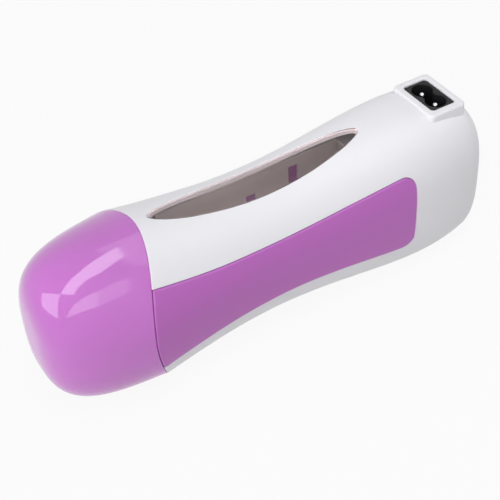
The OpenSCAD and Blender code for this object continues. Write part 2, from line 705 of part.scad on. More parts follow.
module ptc_electrodes() color("#c9cbce") {
    // the upper tag is folded down to the fuse's wire
    translate([tag_end - electrode_thick, -tag_y - tag_w / 2, fuse_z - fuse_wire_d])
        cube([electrode_thick, tag_w, upper_electrode + electrode_thick - fuse_z + fuse_wire_d]);
    for (z = [upper_electrode, lower_electrode]) {
        translate([heater_x - heater_len / 2, -stone_w / 2, z]) cube([heater_len, stone_w, electrode_thick]);
        translate([heater_x + heater_len / 2 - eps, (z == upper_electrode ? -1 : 1) * tag_y - tag_w / 2, z])
            cube([tag_len + eps, tag_w, electrode_thick]);
    }
}
module ptc_film() color("#c98a2b") {
    wide = stone_w + 2 * film_side;
    difference() {
        translate([heater_x - heater_len / 2 - film_over, -wide / 2, film_floor])
            cube([heater_len + 2 * film_over, wide, film_top - film_floor]);
        translate([heater_x - heater_len, film_thick - wide / 2, lower_electrode])
            cube([2 * heater_len, wide - 2 * film_thick, film_top - film_thick - lower_electrode]);
    }
}
// Places of the clip screws, drilling up into the chamber's brackets
module at_clip_screws() {
    both_sides() for (x = clip_bracket_xs)
        translate([x, -chamber_w / 2 + bracket_in + bracket_wide / 2, film_floor]) children();
}
module heater_clip() color("#a9abae") difference() {
    union() {
        translate([heater_x - clip_len / 2, -clip_w / 2, film_floor - clip_thick])
            cube([clip_len, clip_w, clip_thick]);
        for (x = clip_bracket_xs)
            translate([x - bracket_len / 2, -clip_reach, film_floor - clip_thick])
                cube([bracket_len, 2 * clip_reach, clip_thick]);
        both_sides() translate([heater_x - clip_len / 2, -clip_w / 2, film_floor - clip_thick - clip_rib])
            cube([clip_len, clip_thick, clip_rib + eps]);
    }
    at_clip_screws() translate([0, 0, -2 * clip_thick])
        cylinder(h = 4 * clip_thick, d = clip_screw_d + screw_slack, $fn = 24);
}
module clip_screws() color("silver") at_clip_screws() {
    translate([0, 0, -clip_thick - collar_head]) cylinder(h = collar_head, d = 2 * clip_screw_d, $fn = 24);
    translate([0, 0, -clip_thick - eps])
        cylinder(h = clip_thick + clip_bite, d = clip_screw_d - shank_slack, $fn = 24);
}

// ---- thermal fuse ----

// A round bar on the fuse's axis
module fuse_bar(x, length, d) {
    translate([x, -tag_y, fuse_z]) rotate([0, 90, 0]) cylinder(h = length, d = d, $fn = 32);
}
module thermal_fuse() color("#d9d2c4") {
    fuse_bar(fuse_x, fuse_len, fuse_d);
    fuse_bar(fuse_x - fuse_wire_len, fuse_wire_len + eps, fuse_wire_d);
    fuse_bar(fuse_x + fuse_len - eps, fuse_wire_len + eps, fuse_wire_d);
}
module fuse_sleeve() color("#efe9dc") difference() {
    fuse_bar(fuse_x - sleeve_over, fuse_len + 2 * sleeve_over, fuse_d + 2 * fit_gap + 2 * sleeve_wall);
    fuse_bar(fuse_x - 2 * sleeve_over, fuse_len + 4 * sleeve_over, fuse_d + 2 * fit_gap);
}

// ---- mains inlet ----

module at_pins() {
    for (y = [-1, 1]) translate([inlet_x, y * pin_pitch / 2, 0]) children();
}
module inlet_body() color("#151518") difference() {
    translate([inlet_x, 0, inlet_under_z])
        rounded_box(insert_len, insert_w, insert_face_z - inlet_under_z, insert_round);
    at_pins() translate([0, 0, socket_floor_z]) cylinder(h = socket_deep + eps, r = lobe_r, $fn = 48);
    translate([inlet_x - lobe_r * waist_share, -pin_pitch / 2, socket_floor_z])
        cube([2 * lobe_r * waist_share, pin_pitch, socket_deep + eps]);
    at_pins() translate([0, 0, inlet_under_z - eps])
        cylinder(h = inlet_deep - socket_deep, d = pin_root_d + fit_gap, $fn = 32);
}
module inlet_pins() color("#cfd2d6") at_pins() {
    shaft_top = insert_face_z - pin_sink - pin_d / 2;
    translate([0, 0, shaft_top]) sphere(d = pin_d, $fn = 32);
    translate([0, 0, socket_floor_z - eps])
        cylinder(h = shaft_top - socket_floor_z + eps, d = pin_d, $fn = 32);
    translate([0, 0, inlet_under_z - eps])
        cylinder(h = socket_floor_z - inlet_under_z + eps, d = pin_root_d, $fn = 32);
    translate([-tag_wide / 2, -tag_thick / 2, inlet_under_z - tag_deep])
        cube([tag_wide, tag_thick, tag_deep]);
}
module crimp_terminals() color("#c7a64e") at_pins() difference() {
    translate([-terminal[0] / 2, -terminal[1] / 2, terminal_floor_z]) cube(terminal);
    translate([-tag_wide / 2 - fit_gap, -tag_thick / 2 - fit_gap, inlet_under_z - tag_deep - fit_gap])
        cube([tag_wide + 2 * fit_gap, tag_thick + 2 * fit_gap, tag_deep + fit_gap]);
}
// A route with its corners rounded, each over the distance bend before and after it
function rounded(route, bend) = [for (i = [0 : len(route) - 1])
    each i == 0 || i == len(route) - 1 ? [route[i]]
        : let (p = route[i], to = route[i + 1] - p, from = route[i - 1] - p,
            a = p + from * bend / norm(from), b = p + to * bend / norm(to))
        [for (t = [0 : 1 / 3 : 1]) (1 - t) * (1 - t) * a + 2 * t * (1 - t) * p + t * t * b]];
// An insulated lead along a route that stays near a plane of equal y
module lead(route) {
    at = rounded(route, lead_bend);
    last = len(at) - 1;
    skin([for (i = [0 : last]) let (run = at[min(i + 1, last)] - at[max(i - 1, 0)], way = run / norm(run),
        across = [0, 1, 0] - way[1] * way, right = across / norm(across), up = cross(way, right))
        [for (j = [0 : lead_sides - 1]) let (a = 360 * (j + 0.5) / lead_sides)
            at[i] + lead_d / 2 * (right * cos(a) + up * sin(a))]]);
}
// The route to the terminal on the side given by sign, from its start along the housing
function lead_route(start, side) = [start, [chamber_back + lead_behind, side * tag_y, start[2]],
    [inlet_x - lead_before, side * (tag_y + lead_spread), lead_low_z],
    [inlet_x, side * pin_pitch / 2, terminal_floor_z - lead_rise],
    [inlet_x, side * pin_pitch / 2, terminal_floor_z]];
module live_lead() color("#7a4a2a")
    lead(lead_route([fuse_x + fuse_len + fuse_wire_len, -tag_y, fuse_z], -1));
module neutral_lead() color("#3b62ad")
    lead(lead_route([tag_end, tag_y, lower_electrode + electrode_thick / 2], 1));

// ---- shell screws ----

module shell_screws() color("silver") at_screws() difference() {
    union() {
        translate([0, 0, screw_head_z - screw_head_h]) cylinder(h = screw_head_h, d = screw_head_d, $fn = 32);
        translate([0, 0, screw_head_z - eps])
            cylinder(h = screw_land - screw_head_z + screw_bite - screw_end_gap, d = screw_d - fit_gap,
                $fn = 32);
    }
    for (turn = [0, 90])
        rotate([0, 0, turn]) translate([-slot_len / 2, -slot_wide / 2, screw_head_z - screw_head_h - eps])
            cube([slot_len, slot_wide, screw_head_h / 2]);
}

// Stands the part on its rear, with the middle of its footprint at the origin
module set_down() translate([-mid_x, 0, -floor_z]) children();
set_down() front_shell();
set_down() rear_shell();
set_down() grip_panel_near();
set_down() grip_panel_far();
set_down() cap();
set_down() neck_collar();
set_down() window_lens();
set_down() heating_chamber();
set_down() collar_screws();
set_down() cartridge_stop();
set_down() chamber_pads();
set_down() ptc_stones();
set_down() ptc_electrodes();
set_down() ptc_film();
set_down() heater_clip();
set_down() clip_screws();
set_down() thermal_fuse();
set_down() fuse_sleeve();
set_down() inlet_body();
set_down() inlet_pins();
set_down() crimp_terminals();
set_down() live_lead();
set_down() neutral_lead();
set_down() shell_screws();
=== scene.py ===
"""Looks of a hand-held roll-on wax heater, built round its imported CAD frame.

A waisted white housing in two shells carries two purple grip panels, a smoked wax level window and a
figure 8 mains inlet. A light purple cap pulls off its neck. Shapes are worked out in millimetres in the
housing's own axes: x from the side of the cap joint to the butt end, y across, z up from the parting line.
"""

import logging
import math
from dataclasses import dataclass
from enum import Enum

import bmesh
import bpy
import numpy as np
from mathutils import Matrix, Vector


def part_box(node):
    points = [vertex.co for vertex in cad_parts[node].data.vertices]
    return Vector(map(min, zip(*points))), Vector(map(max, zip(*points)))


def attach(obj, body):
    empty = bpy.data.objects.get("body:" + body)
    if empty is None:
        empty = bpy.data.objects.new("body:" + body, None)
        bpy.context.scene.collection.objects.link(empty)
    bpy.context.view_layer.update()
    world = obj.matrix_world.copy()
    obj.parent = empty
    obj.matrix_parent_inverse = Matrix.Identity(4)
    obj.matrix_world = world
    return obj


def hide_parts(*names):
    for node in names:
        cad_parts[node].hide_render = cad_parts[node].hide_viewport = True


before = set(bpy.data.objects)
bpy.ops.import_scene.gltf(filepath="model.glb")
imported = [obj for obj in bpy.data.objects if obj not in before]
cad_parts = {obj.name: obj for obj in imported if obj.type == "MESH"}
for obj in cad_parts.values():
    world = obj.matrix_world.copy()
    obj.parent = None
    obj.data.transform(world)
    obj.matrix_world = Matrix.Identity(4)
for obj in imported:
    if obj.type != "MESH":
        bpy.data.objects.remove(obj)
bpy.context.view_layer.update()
log = logging.getLogger("wax_heater")

Grid = np.ndarray
Triple = tuple[float, float, float]
Colour = tuple[float, float, float]
Noise = tuple[float, float]
Pairs = list[tuple[float, float]]
MILLI = 0.001
FLARE_DEGREES = 65.0
LIP_POINTS = 5
SHARP_DEGREES = 32.0
LAMP_COLOUR: Colour = (0.97, 0.975, 1.0)
WHITE: Colour = (1.0, 1.0, 1.0)


# ---- shapes: formulas on whole arrays ----


def signed_power(values: Grid, power: Grid | float) -> Grid:
    """The sign of each value times its size raised to a power, as superellipses need."""
    return np.sign(values) * np.abs(values) ** power


def round_angles(count: int) -> Grid:
    """Even angles once round, in radians."""
    return np.linspace(0, 2 * math.pi, count, endpoint=False)


def eased(start: float, count: int) -> Grid:
    """Values past a start up to 1 that crowd together towards 1, along a quarter sine."""
    return start + (1 - start) * np.sin(np.linspace(0, math.pi / 2, count + 1)[1:])


def fillet(radius: float, count: int) -> Pairs:
    """A rounded outer edge: the point at angle t is (r - r sin t, r - r cos t), t from 0 to 90 degrees.

    Args:
        radius: Radius of the rounding.
        count: How many points it has.

    Returns:
        (inset, drop) pairs, from a full inset at the top face to none down the side.
    """
    turns = np.radians(np.linspace(0, 90, count))
    return [(radius - radius * math.sin(t), radius - radius * math.cos(t)) for t in turns]


def rounded_lip(radius: float, sweep: float, count: int) -> Pairs:
    """The rounded edge of an opening: the point at angle t is (r - r cos t, r - r sin t).

    Args:
        radius: Radius of the rounding.
        sweep: Angle where it ends, in degrees. The point at 0 isn't part of it.
        count: How many points it has.

    Returns:
        (growth, depth) pairs, on the way up to the surface.
    """
    turns = np.radians(np.linspace(0, sweep, count + 1)[1:])
    return [(radius * (1 - math.cos(t)), radius * (1 - math.sin(t))) for t in turns]


def flared_lip(radius: float, above: float) -> Pairs:
    """A rounded lip that goes on along its last tangent, so that a tool leaves the surface at a slant.

    Args:
        radius: Radius of the rounding.
        above: Height over the surface where it ends.

    Returns:
        (growth, depth) pairs, the last one over the surface.
    """
    pairs = rounded_lip(radius, FLARE_DEGREES, LIP_POINTS)
    growth, depth = pairs[-1]
    return [*pairs, (growth + (depth + above) * math.tan(math.radians(FLARE_DEGREES)), -above)]


def rounded_loop(half: Grid, radius: float, per_corner: int = 12) -> Grid:
    """A rectangle with round corners: each corner's arc is its centre plus r (cos t, sin t).

    Args:
        half: Half its length and half its width.
        radius: Radius of its corners.
        per_corner: How many points a corner has.

    Returns:
        Its (x, y) points once round.
    """
    arcs = []
    for k, signs in enumerate(((1, 1), (-1, 1), (-1, -1), (1, -1))):
        turn = np.radians(np.linspace(0, 90, per_corner) + 90 * k)
        centre = np.array(signs) * (half - radius)
        arcs.append(centre + radius * np.column_stack([np.cos(turn), np.sin(turn)]))
    return np.vstack(arcs)


def laid(loop: Grid, z: float) -> Grid:
    """A flat loop of (x, y) points, laid at one height."""
    return np.column_stack([loop, np.full(len(loop), z)])


@dataclass(frozen=True)
class Placing:
    """Where the housing's own axes lie in the frame.

    joint_x and parting_z are metres in the frame. lowest is the housing's lowest height, in its own
    millimetres.
    """

    joint_x: float
    parting_z: float
    lowest: float

    def metres(self, points: Grid) -> Grid:
        """Frame point = housing point / 1000, moved by the joint's x and the parting line's z."""
        return np.asarray(points, float) * MILLI + np.array([self.joint_x, 0.0, self.parting_z])


@dataclass(frozen=True)
class Outline:
    """Outline of the white housing: five even stations give its half width, height and depth."""

    length: float = 160.0
    half_widths: tuple[float, ...] = (30.8, 25.6, 24.2, 25.3, 19.9)
    tops: tuple[float, ...] = (32.6, 26.6, 26.5, 31.0, 25.8)
    deeps: tuple[float, ...] = (33.4, 29.2, 30.2, 34.8, 28.4)
    end_round: float = 9.8
    top_square: float = 2.1
    rim_square: float = 1.95
    rim_fade: float = 30.0
    bottom_square: float = 2.9
    tail_square: float = 0.7
    wall: float = 2.3
    rim_bow: float = 10.2
    joint_gap: float = 0.15

    def along(self, stations: tuple[float, ...], x: Grid) -> Grid:
        """Quartic through the stations: the sum of each one times the product of (u - j) / (i - j).

        Args:
            stations: Values at even places from the joint to the butt.
            x: Places along the housing.

        Returns:
            The value at each place.
        """
        u = (len(stations) - 1) * np.asarray(x, float) / self.length
        total = np.zeros_like(u)
        for i, value in enumerate(stations):
            term = np.full_like(u, value)
            for j in range(len(stations)):
                if j != i:
                    term = term * (u - j) / (i - j)
            total = total + term
        return total

    def drawn_in(self, x: Grid, depth: float = 0.0) -> Grid:
        """How far the rounded butt edge draws the section in: r - sqrt(r^2 - i^2), i past its start.

        Args:
            x: Places along the housing.
            depth: Depth under the surface, which makes the edge's radius that much less.

        Returns:
            The distance at each place.
        """
        radius = self.end_round - depth
        into = np.clip(np.asarray(x, float) - (self.length - self.end_round), 0, radius)
        return radius - np.sqrt(radius * radius - into * into)

    def axes(self, x: Grid, over: Grid, depth: Grid | float) -> tuple[Grid, Grid, Grid]:
        """Measures of the superellipse section: the stations' quartics, less the drawing in and the depth.

        The exponent grows with (x / length)^2. Above, it first eases from the rim's by 3 u^2 - 2 u^3.

        Args:
            x: Places along the housing.
            over: Whether a point is over the parting line.
            depth: Depth under the surface.

        Returns:
            Half width, half height and exponent at each place.
        """
        more = self.tail_square * (np.clip(x, 0, None) / self.length) ** 2
        u = np.clip((x - self.rim_bow) / self.rim_fade, 0, 1)
        upper = self.top_square + (self.rim_square - self.top_square) * (1 - u * u * (3 - 2 * u))
        square = np.where(over, upper + more, self.bottom_square + more / 2)
        drawn = self.drawn_in(x)
        high = np.where(over, self.along(self.tops, x), self.along(self.deeps, x))
        return self.along(self.half_widths, x) - drawn - depth, high - drawn - depth, square

    def section(self, x: Grid, angle: Grid, depth: Grid | float = 0.0) -> Grid:
        """Superellipse point: y = w cos^(2/n) a and z = h sin^(2/n) a, with signed powers.

        Args:
            x: Places along the housing.
            angle: Angles from +y over the top, in radians.
            depth: Depth under the surface.

        Returns:
            Points, with their three coordinates last.
        """
        x, angle, depth = np.broadcast_arrays(np.asarray(x, float), angle, depth)
        wide, high, square = self.axes(x, np.sin(angle) >= 0, depth)
        y = wide * signed_power(np.cos(angle), 2 / square)
        return np.stack([x, y, high * signed_power(np.sin(angle), 2 / square)], axis=-1)

    def roof(self, x: Grid, y: Grid, depth: Grid | float = 0.0) -> Grid:
        """Height of the upper surface: h (1 - |y / w|^n)^(1/n)."""
        wide, high, square = self.axes(np.asarray(x, float), np.asarray(True), depth)
        return high * np.clip(1 - np.abs(y / wide) ** square, 0, None) ** (1 / square)

    def side(self, x: Grid, z: Grid, depth: Grid | float = 0.0) -> Grid:
        """Distance of the side surface from the middle plane: w (1 - |z / h|^n)^(1/n)."""
        wide, high, square = self.axes(np.asarray(x, float), np.asarray(z) >= 0, depth)
        return wide * np.clip(1 - np.abs(z / high) ** square, 0, None) ** (1 / square)

    def joint(self, angle: Grid) -> Grid:
        """Place of the bowed cap joint at an angle: bow times |sin a|^(4/n)."""
        square = np.where(np.sin(angle) >= 0, self.rim_square, self.bottom_square)
        return self.rim_bow * np.abs(np.sin(angle)) ** (4 / square)


# ---- meshes ----


class Join(Enum):
    """How a tool solid acts on a piece."""

    CUT = "DIFFERENCE"
    ADD = "UNION"
    KEEP = "INTERSECT"


class Solid:
    """A closed surface gathered from grids of points, in the housing's millimetres."""

    def __init__(self) -> None:
        """Starts with no points and no faces."""
        self.blocks: list[Grid] = []
        self.faces: list[list[int]] = []
        self.count = 0

    def add(self, points: Grid) -> Grid:
        """Adds points.

        Args:
            points: A grid of points, with their coordinates last.

        Returns:
            The grid of their numbers.
        """
        numbers = np.arange(points[..., 0].size).reshape(points.shape[:-1]) + self.count
        self.blocks.append(points.reshape(-1, 3))
        self.count += numbers.size
        return numbers

    def skin(self, numbers: Grid, closed: bool = False) -> None:
        """Joins points with quads.

        Args:
            numbers: The points' numbers, as a grid.
            closed: Whether its last column joins its first.
        """
        if closed:
            numbers = np.hstack([numbers, numbers[:, :1]])
        corners = (numbers[:-1, :-1], numbers[:-1, 1:], numbers[1:, 1:], numbers[1:, :-1])
        self.faces += np.stack(corners, axis=-1).reshape(-1, 4).tolist()

    def fan(self, ring: Grid, centre: Grid | list[float]) -> None:
        """Closes a ring of numbers with triangles to a point at the centre."""
        pole = self.add(np.asarray(centre, float).reshape(1, 3))
        self.faces += np.column_stack([ring, np.roll(ring, -1), np.full(len(ring), pole[0])]).tolist()

    def build(self, name: str, placing: Placing) -> bpy.types.Object:
        """Makes the object, with its doubles merged and its faces turned outwards.

        Args:
            name: Name of the object and its mesh.
            placing: Where the housing's axes lie.

        Returns:
            The object, linked to the scene.
        """
        mesh = bpy.data.meshes.new(name)
        mesh.from_pydata(placing.metres(np.vstack(self.blocks)).tolist(), [], self.faces)
        turned_out(mesh)
        return linked(name, mesh)


def linked(name: str, data: bpy.types.ID) -> bpy.types.Object:
    """Makes an object of a mesh, lamp or camera and links it to the scene.

    Args:
        name: The object's name.
        data: What it shows.

    Returns:
        The object, at the origin.
    """
    thing = bpy.data.objects.new(name, data)
    bpy.context.scene.collection.objects.link(thing)
    return thing


def turned_out(mesh: bpy.types.Mesh) -> None:
    """Merges a closed mesh's doubles and turns its faces outwards.

    Args:
        mesh: The mesh, changed in place.
    """
    merge_under = 1e-7
    work = bmesh.new()
    work.from_mesh(mesh)
    bmesh.ops.remove_doubles(work, verts=work.verts, dist=merge_under)
    bmesh.ops.recalc_face_normals(work, faces=work.faces)
    work.to_mesh(mesh)
    work.free()


def smoothed(piece: bpy.types.Object) -> bpy.types.Object:
    """Shades a piece smooth but for its sharp edges.

    Args:
        piece: The piece, changed in place.

    Returns:
        The same piece.
    """
    piece.data.shade_smooth()
    piece.data.set_sharp_from_angle(angle=math.radians(SHARP_DEGREES))
    return piece


def combine(piece: bpy.types.Object, tool: bpy.types.Object, how: Join) -> None:
    """Joins a tool solid with a piece, and removes the tool.

    Args:
        piece: The piece, which gets a new mesh.
        tool: The tool solid.
        how: Whether it cuts, adds or keeps.
    """
    modifier = piece.modifiers.new("combine", "BOOLEAN")
    modifier.operation = how.value
    modifier.solver = "MANIFOLD"
    modifier.object = tool
    depsgraph = bpy.context.evaluated_depsgraph_get()
    result = bpy.data.meshes.new_from_object(piece.evaluated_get(depsgraph))
    piece.modifiers.clear()
    result.name = piece.name
    piece.data = result
    bpy.data.objects.remove(tool)


def stacked(loops: list[Grid], name: str, placing: Placing) -> bpy.types.Object:
    """A solid through loops of points, closed by fans to its end loops' middles.

    Args:
        loops: Loops with as many points each.
        name: Name of the object.
        placing: Where the housing's axes lie.

    Returns:
        The object.
    """
    solid = Solid()
    numbers = solid.add(np.stack(loops))
    solid.skin(numbers, closed=True)
    solid.fan(numbers[0], loops[0].mean(axis=0))
    solid.fan(numbers[-1], loops[-1].mean(axis=0))
    return solid.build(name, placing)


def ringed(loops: list[Grid], name: str, placing: Placing) -> bpy.types.Object:
    """A ring-shaped solid through loops of points whose last loop meets the first.

    Args:
        loops: Loops with as many points each.
        name: Name of the object.
        placing: Where the housing's axes lie.

    Returns:
        The object.
    """
    solid = Solid()
    numbers = solid.add(np.stack(loops))
    solid.skin(np.vstack([numbers, numbers[:1]]), closed=True)
    return solid.build(name, placing)


def box_solid(low: Triple, high: Triple, name: str, placing: Placing) -> bpy.types.Object:
    """A plain box, used as a tool.

    Args:
        low: Its lowest corner.
        high: Its highest corner.
        name: Name of the object.
        placing: Where the housing's axes lie.

    Returns:
        The object.
    """
    signs = np.array([[-1, -1], [1, -1], [1, 1], [-1, 1]])
    middle, half = np.add(low, high) / 2, np.subtract(high, low) / 2
    return stacked([laid(middle[:2] + signs * half[:2], z) for z in (low[2], high[2])], name, placing)


def upright_cylinder(middle: tuple[float, float], span: tuple[float, float], radius: float,
                     placing: Placing) -> bpy.types.Object:
    """A round tool along z: every point is its middle plus r (cos t, sin t).

    Args:
        middle: Its x and y.
        span: Its lowest and highest z.
        radius: Its radius.
        placing: Where the housing's axes lie.

    Returns:
        The object.
    """
    sides = 64
    turn = round_angles(sides)
    ring = np.column_stack([middle[0] + radius * np.cos(turn), middle[1] + radius * np.sin(turn)])
    return stacked([laid(ring, z) for z in span], "cylinder", placing)


# ---- shader graphs ----


class Signal:
    """A socket whose numbers take part in Python expressions by adding Math nodes."""

    def __init__(self, graph: "Graph", socket: bpy.types.NodeSocket) -> None:
        """Wraps one output socket of a graph."""
        self.graph = graph
        self.socket = socket

    def _with(self, operation: str, other: "Signal | float") -> "Signal":
        """The Math node for an operation on this signal and another value."""
        return self.graph.node("ShaderNodeMath", {"operation": operation}, {0: self, 1: other})

    def __add__(self, other: "Signal | float") -> "Signal":
        """Sum."""
        return self._with("ADD", other)

    def __mul__(self, other: "Signal | float") -> "Signal":
        """Product."""
        return self._with("MULTIPLY", other)

    __radd__ = __add__
    __rmul__ = __mul__


class Graph:
    """The nodes of one material or world."""

    def __init__(self, owner: bpy.types.Material | bpy.types.World,
                 output: str = "ShaderNodeOutputMaterial") -> None:
        """Empties the owner's nodes and adds an output node.

        Args:
            owner: The material or world.
            output: Type name of its output node.
        """
        owner.use_nodes = True
        self.owner = owner
        self.tree = owner.node_tree
        self.tree.nodes.clear()
        self.output = self.tree.nodes.new(output)

    def node(self, kind: str, settings: dict | None = None, inputs: dict | None = None,
             output: int | str = 0) -> Signal:
        """Adds a node.

        Args:
            kind: The node's type name.
            settings: Its own settings, such as an operation, which are set first.
            inputs: Values or signals for its sockets, by name or number.
            output: Which of its outputs is wanted.

        Returns:
            That output.
        """
        node = self.tree.nodes.new(kind)
        for key, value in (settings or {}).items():
            setattr(node, key, value)
        for key, value in (inputs or {}).items():
            if isinstance(value, Signal):
                self.tree.links.new(value.socket, node.inputs[key])
            else:
                node.inputs[key].default_value = value
        return Signal(self, node.outputs[output])

    def noise(self, scale: float, detail: float, stretch: Triple = (1.0, 1.0, 1.0)) -> Signal:
        """Soft noise on Object coordinates.

        Args:
            scale: Its features are 1 / scale metres apart.
            detail: How many finer layers it has.
            stretch: Factors on the coordinates along x, y and z.

        Returns:
            A signal from 0 to 1.
        """
        mapping = {"Vector": self.node("ShaderNodeTexCoord", output="Object"), "Scale": stretch}
        place = self.node("ShaderNodeMapping", inputs=mapping)
        inputs = {"Vector": place, "Scale": scale, "Detail": detail}
        return self.node("ShaderNodeTexNoise", inputs=inputs, output="Fac")

    def wave(self, scale: float, direction: str) -> Signal:
        """Even ribs on Object coordinates.

        Args:
            scale: They are 2 pi / (20 scale) metres apart.
            direction: The axis that they follow one another along, X, Y or Z.

        Returns:
            A signal from 0 to 1.
        """
        settings = {"wave_type": "BANDS", "bands_direction": direction, "wave_profile": "SIN"}
        inputs = {"Vector": self.node("ShaderNodeTexCoord", output="Object"), "Scale": scale}
        return self.node("ShaderNodeTexWave", settings, inputs, "Fac")

    def shaded(self, colour: Colour, factor: Signal, darker: float, lighter: float) -> Signal:
        """A colour that gets darker and lighter.

        Args:
            colour: The middle colour.
            factor: A signal from 0, where it is darkest, to 1.
            darker: The least factor on the colour.
            lighter: The greatest factor on it.

        Returns:
            The colour's signal.
        """
        ends = [(*(min(1.0, channel * by) for channel in colour), 1.0) for by in (darker, lighter)]
        settings = {"data_type": "RGBA", "clamp_factor": True}
        return self.node("ShaderNodeMix", settings, {0: factor, 6: ends[0], 7: ends[1]}, 2)

    def bump(self, height: Signal, strength: float, distance: float) -> Signal:
        """A normal from a height, with its full height given in metres."""
        inputs = {"Height": height, "Strength": strength, "Distance": distance}
        return self.node("ShaderNodeBump", inputs=inputs)

    def seen(self) -> Signal:
        """Tells the rays that see the white surround.

        Returns:
            At least 1 on camera, gloss and glass rays, and 0 on the rest.
        """
        camera = self.node("ShaderNodeLightPath", output="Is Camera Ray")
        rays = camera.socket.node.outputs
        return camera + Signal(self, rays["Is Glossy Ray"]) + Signal(self, rays["Is Transmission Ray"])

    def body(self, inputs: dict) -> Signal:
        """A Principled surface."""
        return self.node("ShaderNodeBsdfPrincipled", inputs=inputs)

    def glow(self, colour: Colour, strength: float) -> Signal:
        """An even glow."""
        return self.node("ShaderNodeEmission", inputs={"Color": (*colour, 1.0), "Strength": strength})

    def blend(self, factor: Signal, first: Signal, second: Signal) -> Signal:
        """A blend of two shaders, by a factor."""
        return self.node("ShaderNodeMixShader", inputs={0: factor, 1: first, 2: second})

    def shown(self, shader: Signal) -> bpy.types.Material | bpy.types.World:
        """Links a shader to the output and returns the material or world."""
        self.tree.links.new(shader.socket, self.output.inputs["Surface"])
        return self.owner


def uneven(value: float, by: float, noise: Signal) -> Signal:
    """A value that a noise from 0 to 1 takes from 1 - by to 1 + by of itself."""
    return value * (1 - by + 2 * by * noise)


@dataclass(frozen=True)
class MouldedPlastic:
    """Polished moulded plastic: faint flow clouding, an even gloss and a slight orange peel.

    Each noise is a scale and a detail, and heights are in metres, here and in the other finishes.
    """

    name: str
    colour: Colour
    roughness: float
    coat: float = 0.0
    clouding: float = 0.03
    cloud_noise: Noise = (28.0, 3.0)
    gloss_change: float = 0.1
    gloss_noise: Noise = (160.0, 2.0)
    peel: float = 0.05
    peel_noise: Noise = (900.0, 1.0)
    peel_height: float = 0.00004
    ior: float = 1.5
    coat_roughness: float = 0.03

    def material(self) -> bpy.types.Material:
        """Builds the material.

        Returns:
            The material.
        """
        graph = Graph(bpy.data.materials.new(self.name))
        clouds = graph.noise(*self.cloud_noise)
        peel = graph.noise(*self.peel_noise)
        return graph.shown(graph.body({
            "Base Color": graph.shaded(self.colour, clouds, 1 - self.clouding, 1 + self.clouding),
            "Roughness": uneven(self.roughness, self.gloss_change, graph.noise(*self.gloss_noise)),
            "IOR": self.ior,
            "Coat Weight": self.coat,
            "Coat Roughness": self.coat_roughness,
            "Normal": graph.bump(peel, self.peel, self.peel_height),
        }))


@dataclass(frozen=True)
class SmokedLens:
    """Clear plastic with a smoky pink tint, which lets the lamps through to what lies under it."""

    name: str = "smoked_lens"
    tint: Colour = (0.775, 0.705, 0.705)
    shadow_tint: Colour = (0.93, 0.90, 0.90)
    streaks: float = 0.03
    streak_noise: Noise = (60.0, 2.0)
    polish: float = 0.02
    polish_noise: Noise = (200.0, 1.0)
    ior: float = 1.3

    def material(self) -> bpy.types.Material:
        """Builds the material: a refracting body, and a plain tint for shadow rays.

        Returns:
            The material.
        """
        graph = Graph(bpy.data.materials.new(self.name))
        streaks = graph.noise(*self.streak_noise)
        body = graph.body({
            "Base Color": graph.shaded(self.tint, streaks, 1 - self.streaks, 1 + self.streaks),
            "Roughness": self.polish + self.polish * graph.noise(*self.polish_noise),
            "IOR": self.ior,
            "Transmission Weight": 1.0,
        })
        clear = graph.node("ShaderNodeBsdfTransparent", inputs={"Color": (*self.shadow_tint, 1.0)})
        shadow = graph.node("ShaderNodeLightPath", output="Is Shadow Ray")
        return graph.shown(graph.blend(shadow, body, clear))


class Lay(Enum):
    """The way that a metal's marks run, as the stretch of their noise along x, y and z."""

    DRAWN_ALONG = (0.03, 1.0, 1.0)
    TURNED = (1.0, 1.0, 0.05)
    ROLLED_ACROSS = (1.0, 0.04, 1.0)


@dataclass(frozen=True)
class WorkedMetal:
    """Metal with fine marks along its lay, and a cloudy stain that changes its gloss."""

    name: str
    colour: Colour
    roughness: float
    lay: Lay
    marks: float = 0.2
    metallic: float = 1.0
    mark_noise: Noise = (3000.0, 2.0)
    mark_height: float = 0.00003
    mark_share: float = 0.5
    stain_noise: Noise = (70.0, 3.0)
    gloss_change: float = 0.25
    tones: tuple[float, float] = (0.85, 1.12)

    def material(self) -> bpy.types.Material:
        """Builds the material.

        Returns:
            The material.
        """
        graph = Graph(bpy.data.materials.new(self.name))
        marks = graph.noise(*self.mark_noise, self.lay.value)
        stain = graph.noise(*self.stain_noise)
        tone = marks * self.mark_share + stain * (1 - self.mark_share)
        return graph.shown(graph.body({
            "Base Color": graph.shaded(self.colour, tone, *self.tones),
            "Metallic": self.metallic,
            "Roughness": uneven(self.roughness, self.gloss_change, stain),
            "Normal": graph.bump(marks, self.marks, self.mark_height),
        }))


@dataclass(frozen=True)
class SoftMatter:
    """Rubber, ceramic, film or sleeve: a matt body with grain, and ribs where it is woven."""

    name: str
    colour: Colour
    roughness: float
    grain: float = 1200.0
    speckle: float = 0.10
    ribs: float = 0.0
    relief: float = 0.25
    coat: float = 0.0
    ior: float = 1.5
    grain_detail: float = 3.0
    rib_share: float = 0.5
    grain_share: float = 0.2
    relief_height: float = 0.00008
    gloss_change: float = 0.15
    gloss_noise: Noise = (90.0, 2.0)

    def material(self) -> bpy.types.Material:
        """Builds the material.

        Returns:
            The material.
        """
        graph = Graph(bpy.data.materials.new(self.name))
        grain = graph.noise(self.grain, self.grain_detail)
        height = grain
        if self.ribs:
            ribs = [graph.wave(self.ribs, axis) * self.rib_share for axis in ("X", "Z")]
            height = ribs[0] + ribs[1] + grain * self.grain_share
        return graph.shown(graph.body({
            "Base Color": graph.shaded(self.colour, grain, 1 - self.speckle, 1 + self.speckle),
            "Roughness": uneven(self.roughness, self.gloss_change, graph.noise(*self.gloss_noise)),
            "IOR": self.ior,
            "Coat Weight": self.coat,
            "Normal": graph.bump(height, self.relief, self.relief_height),
        }))


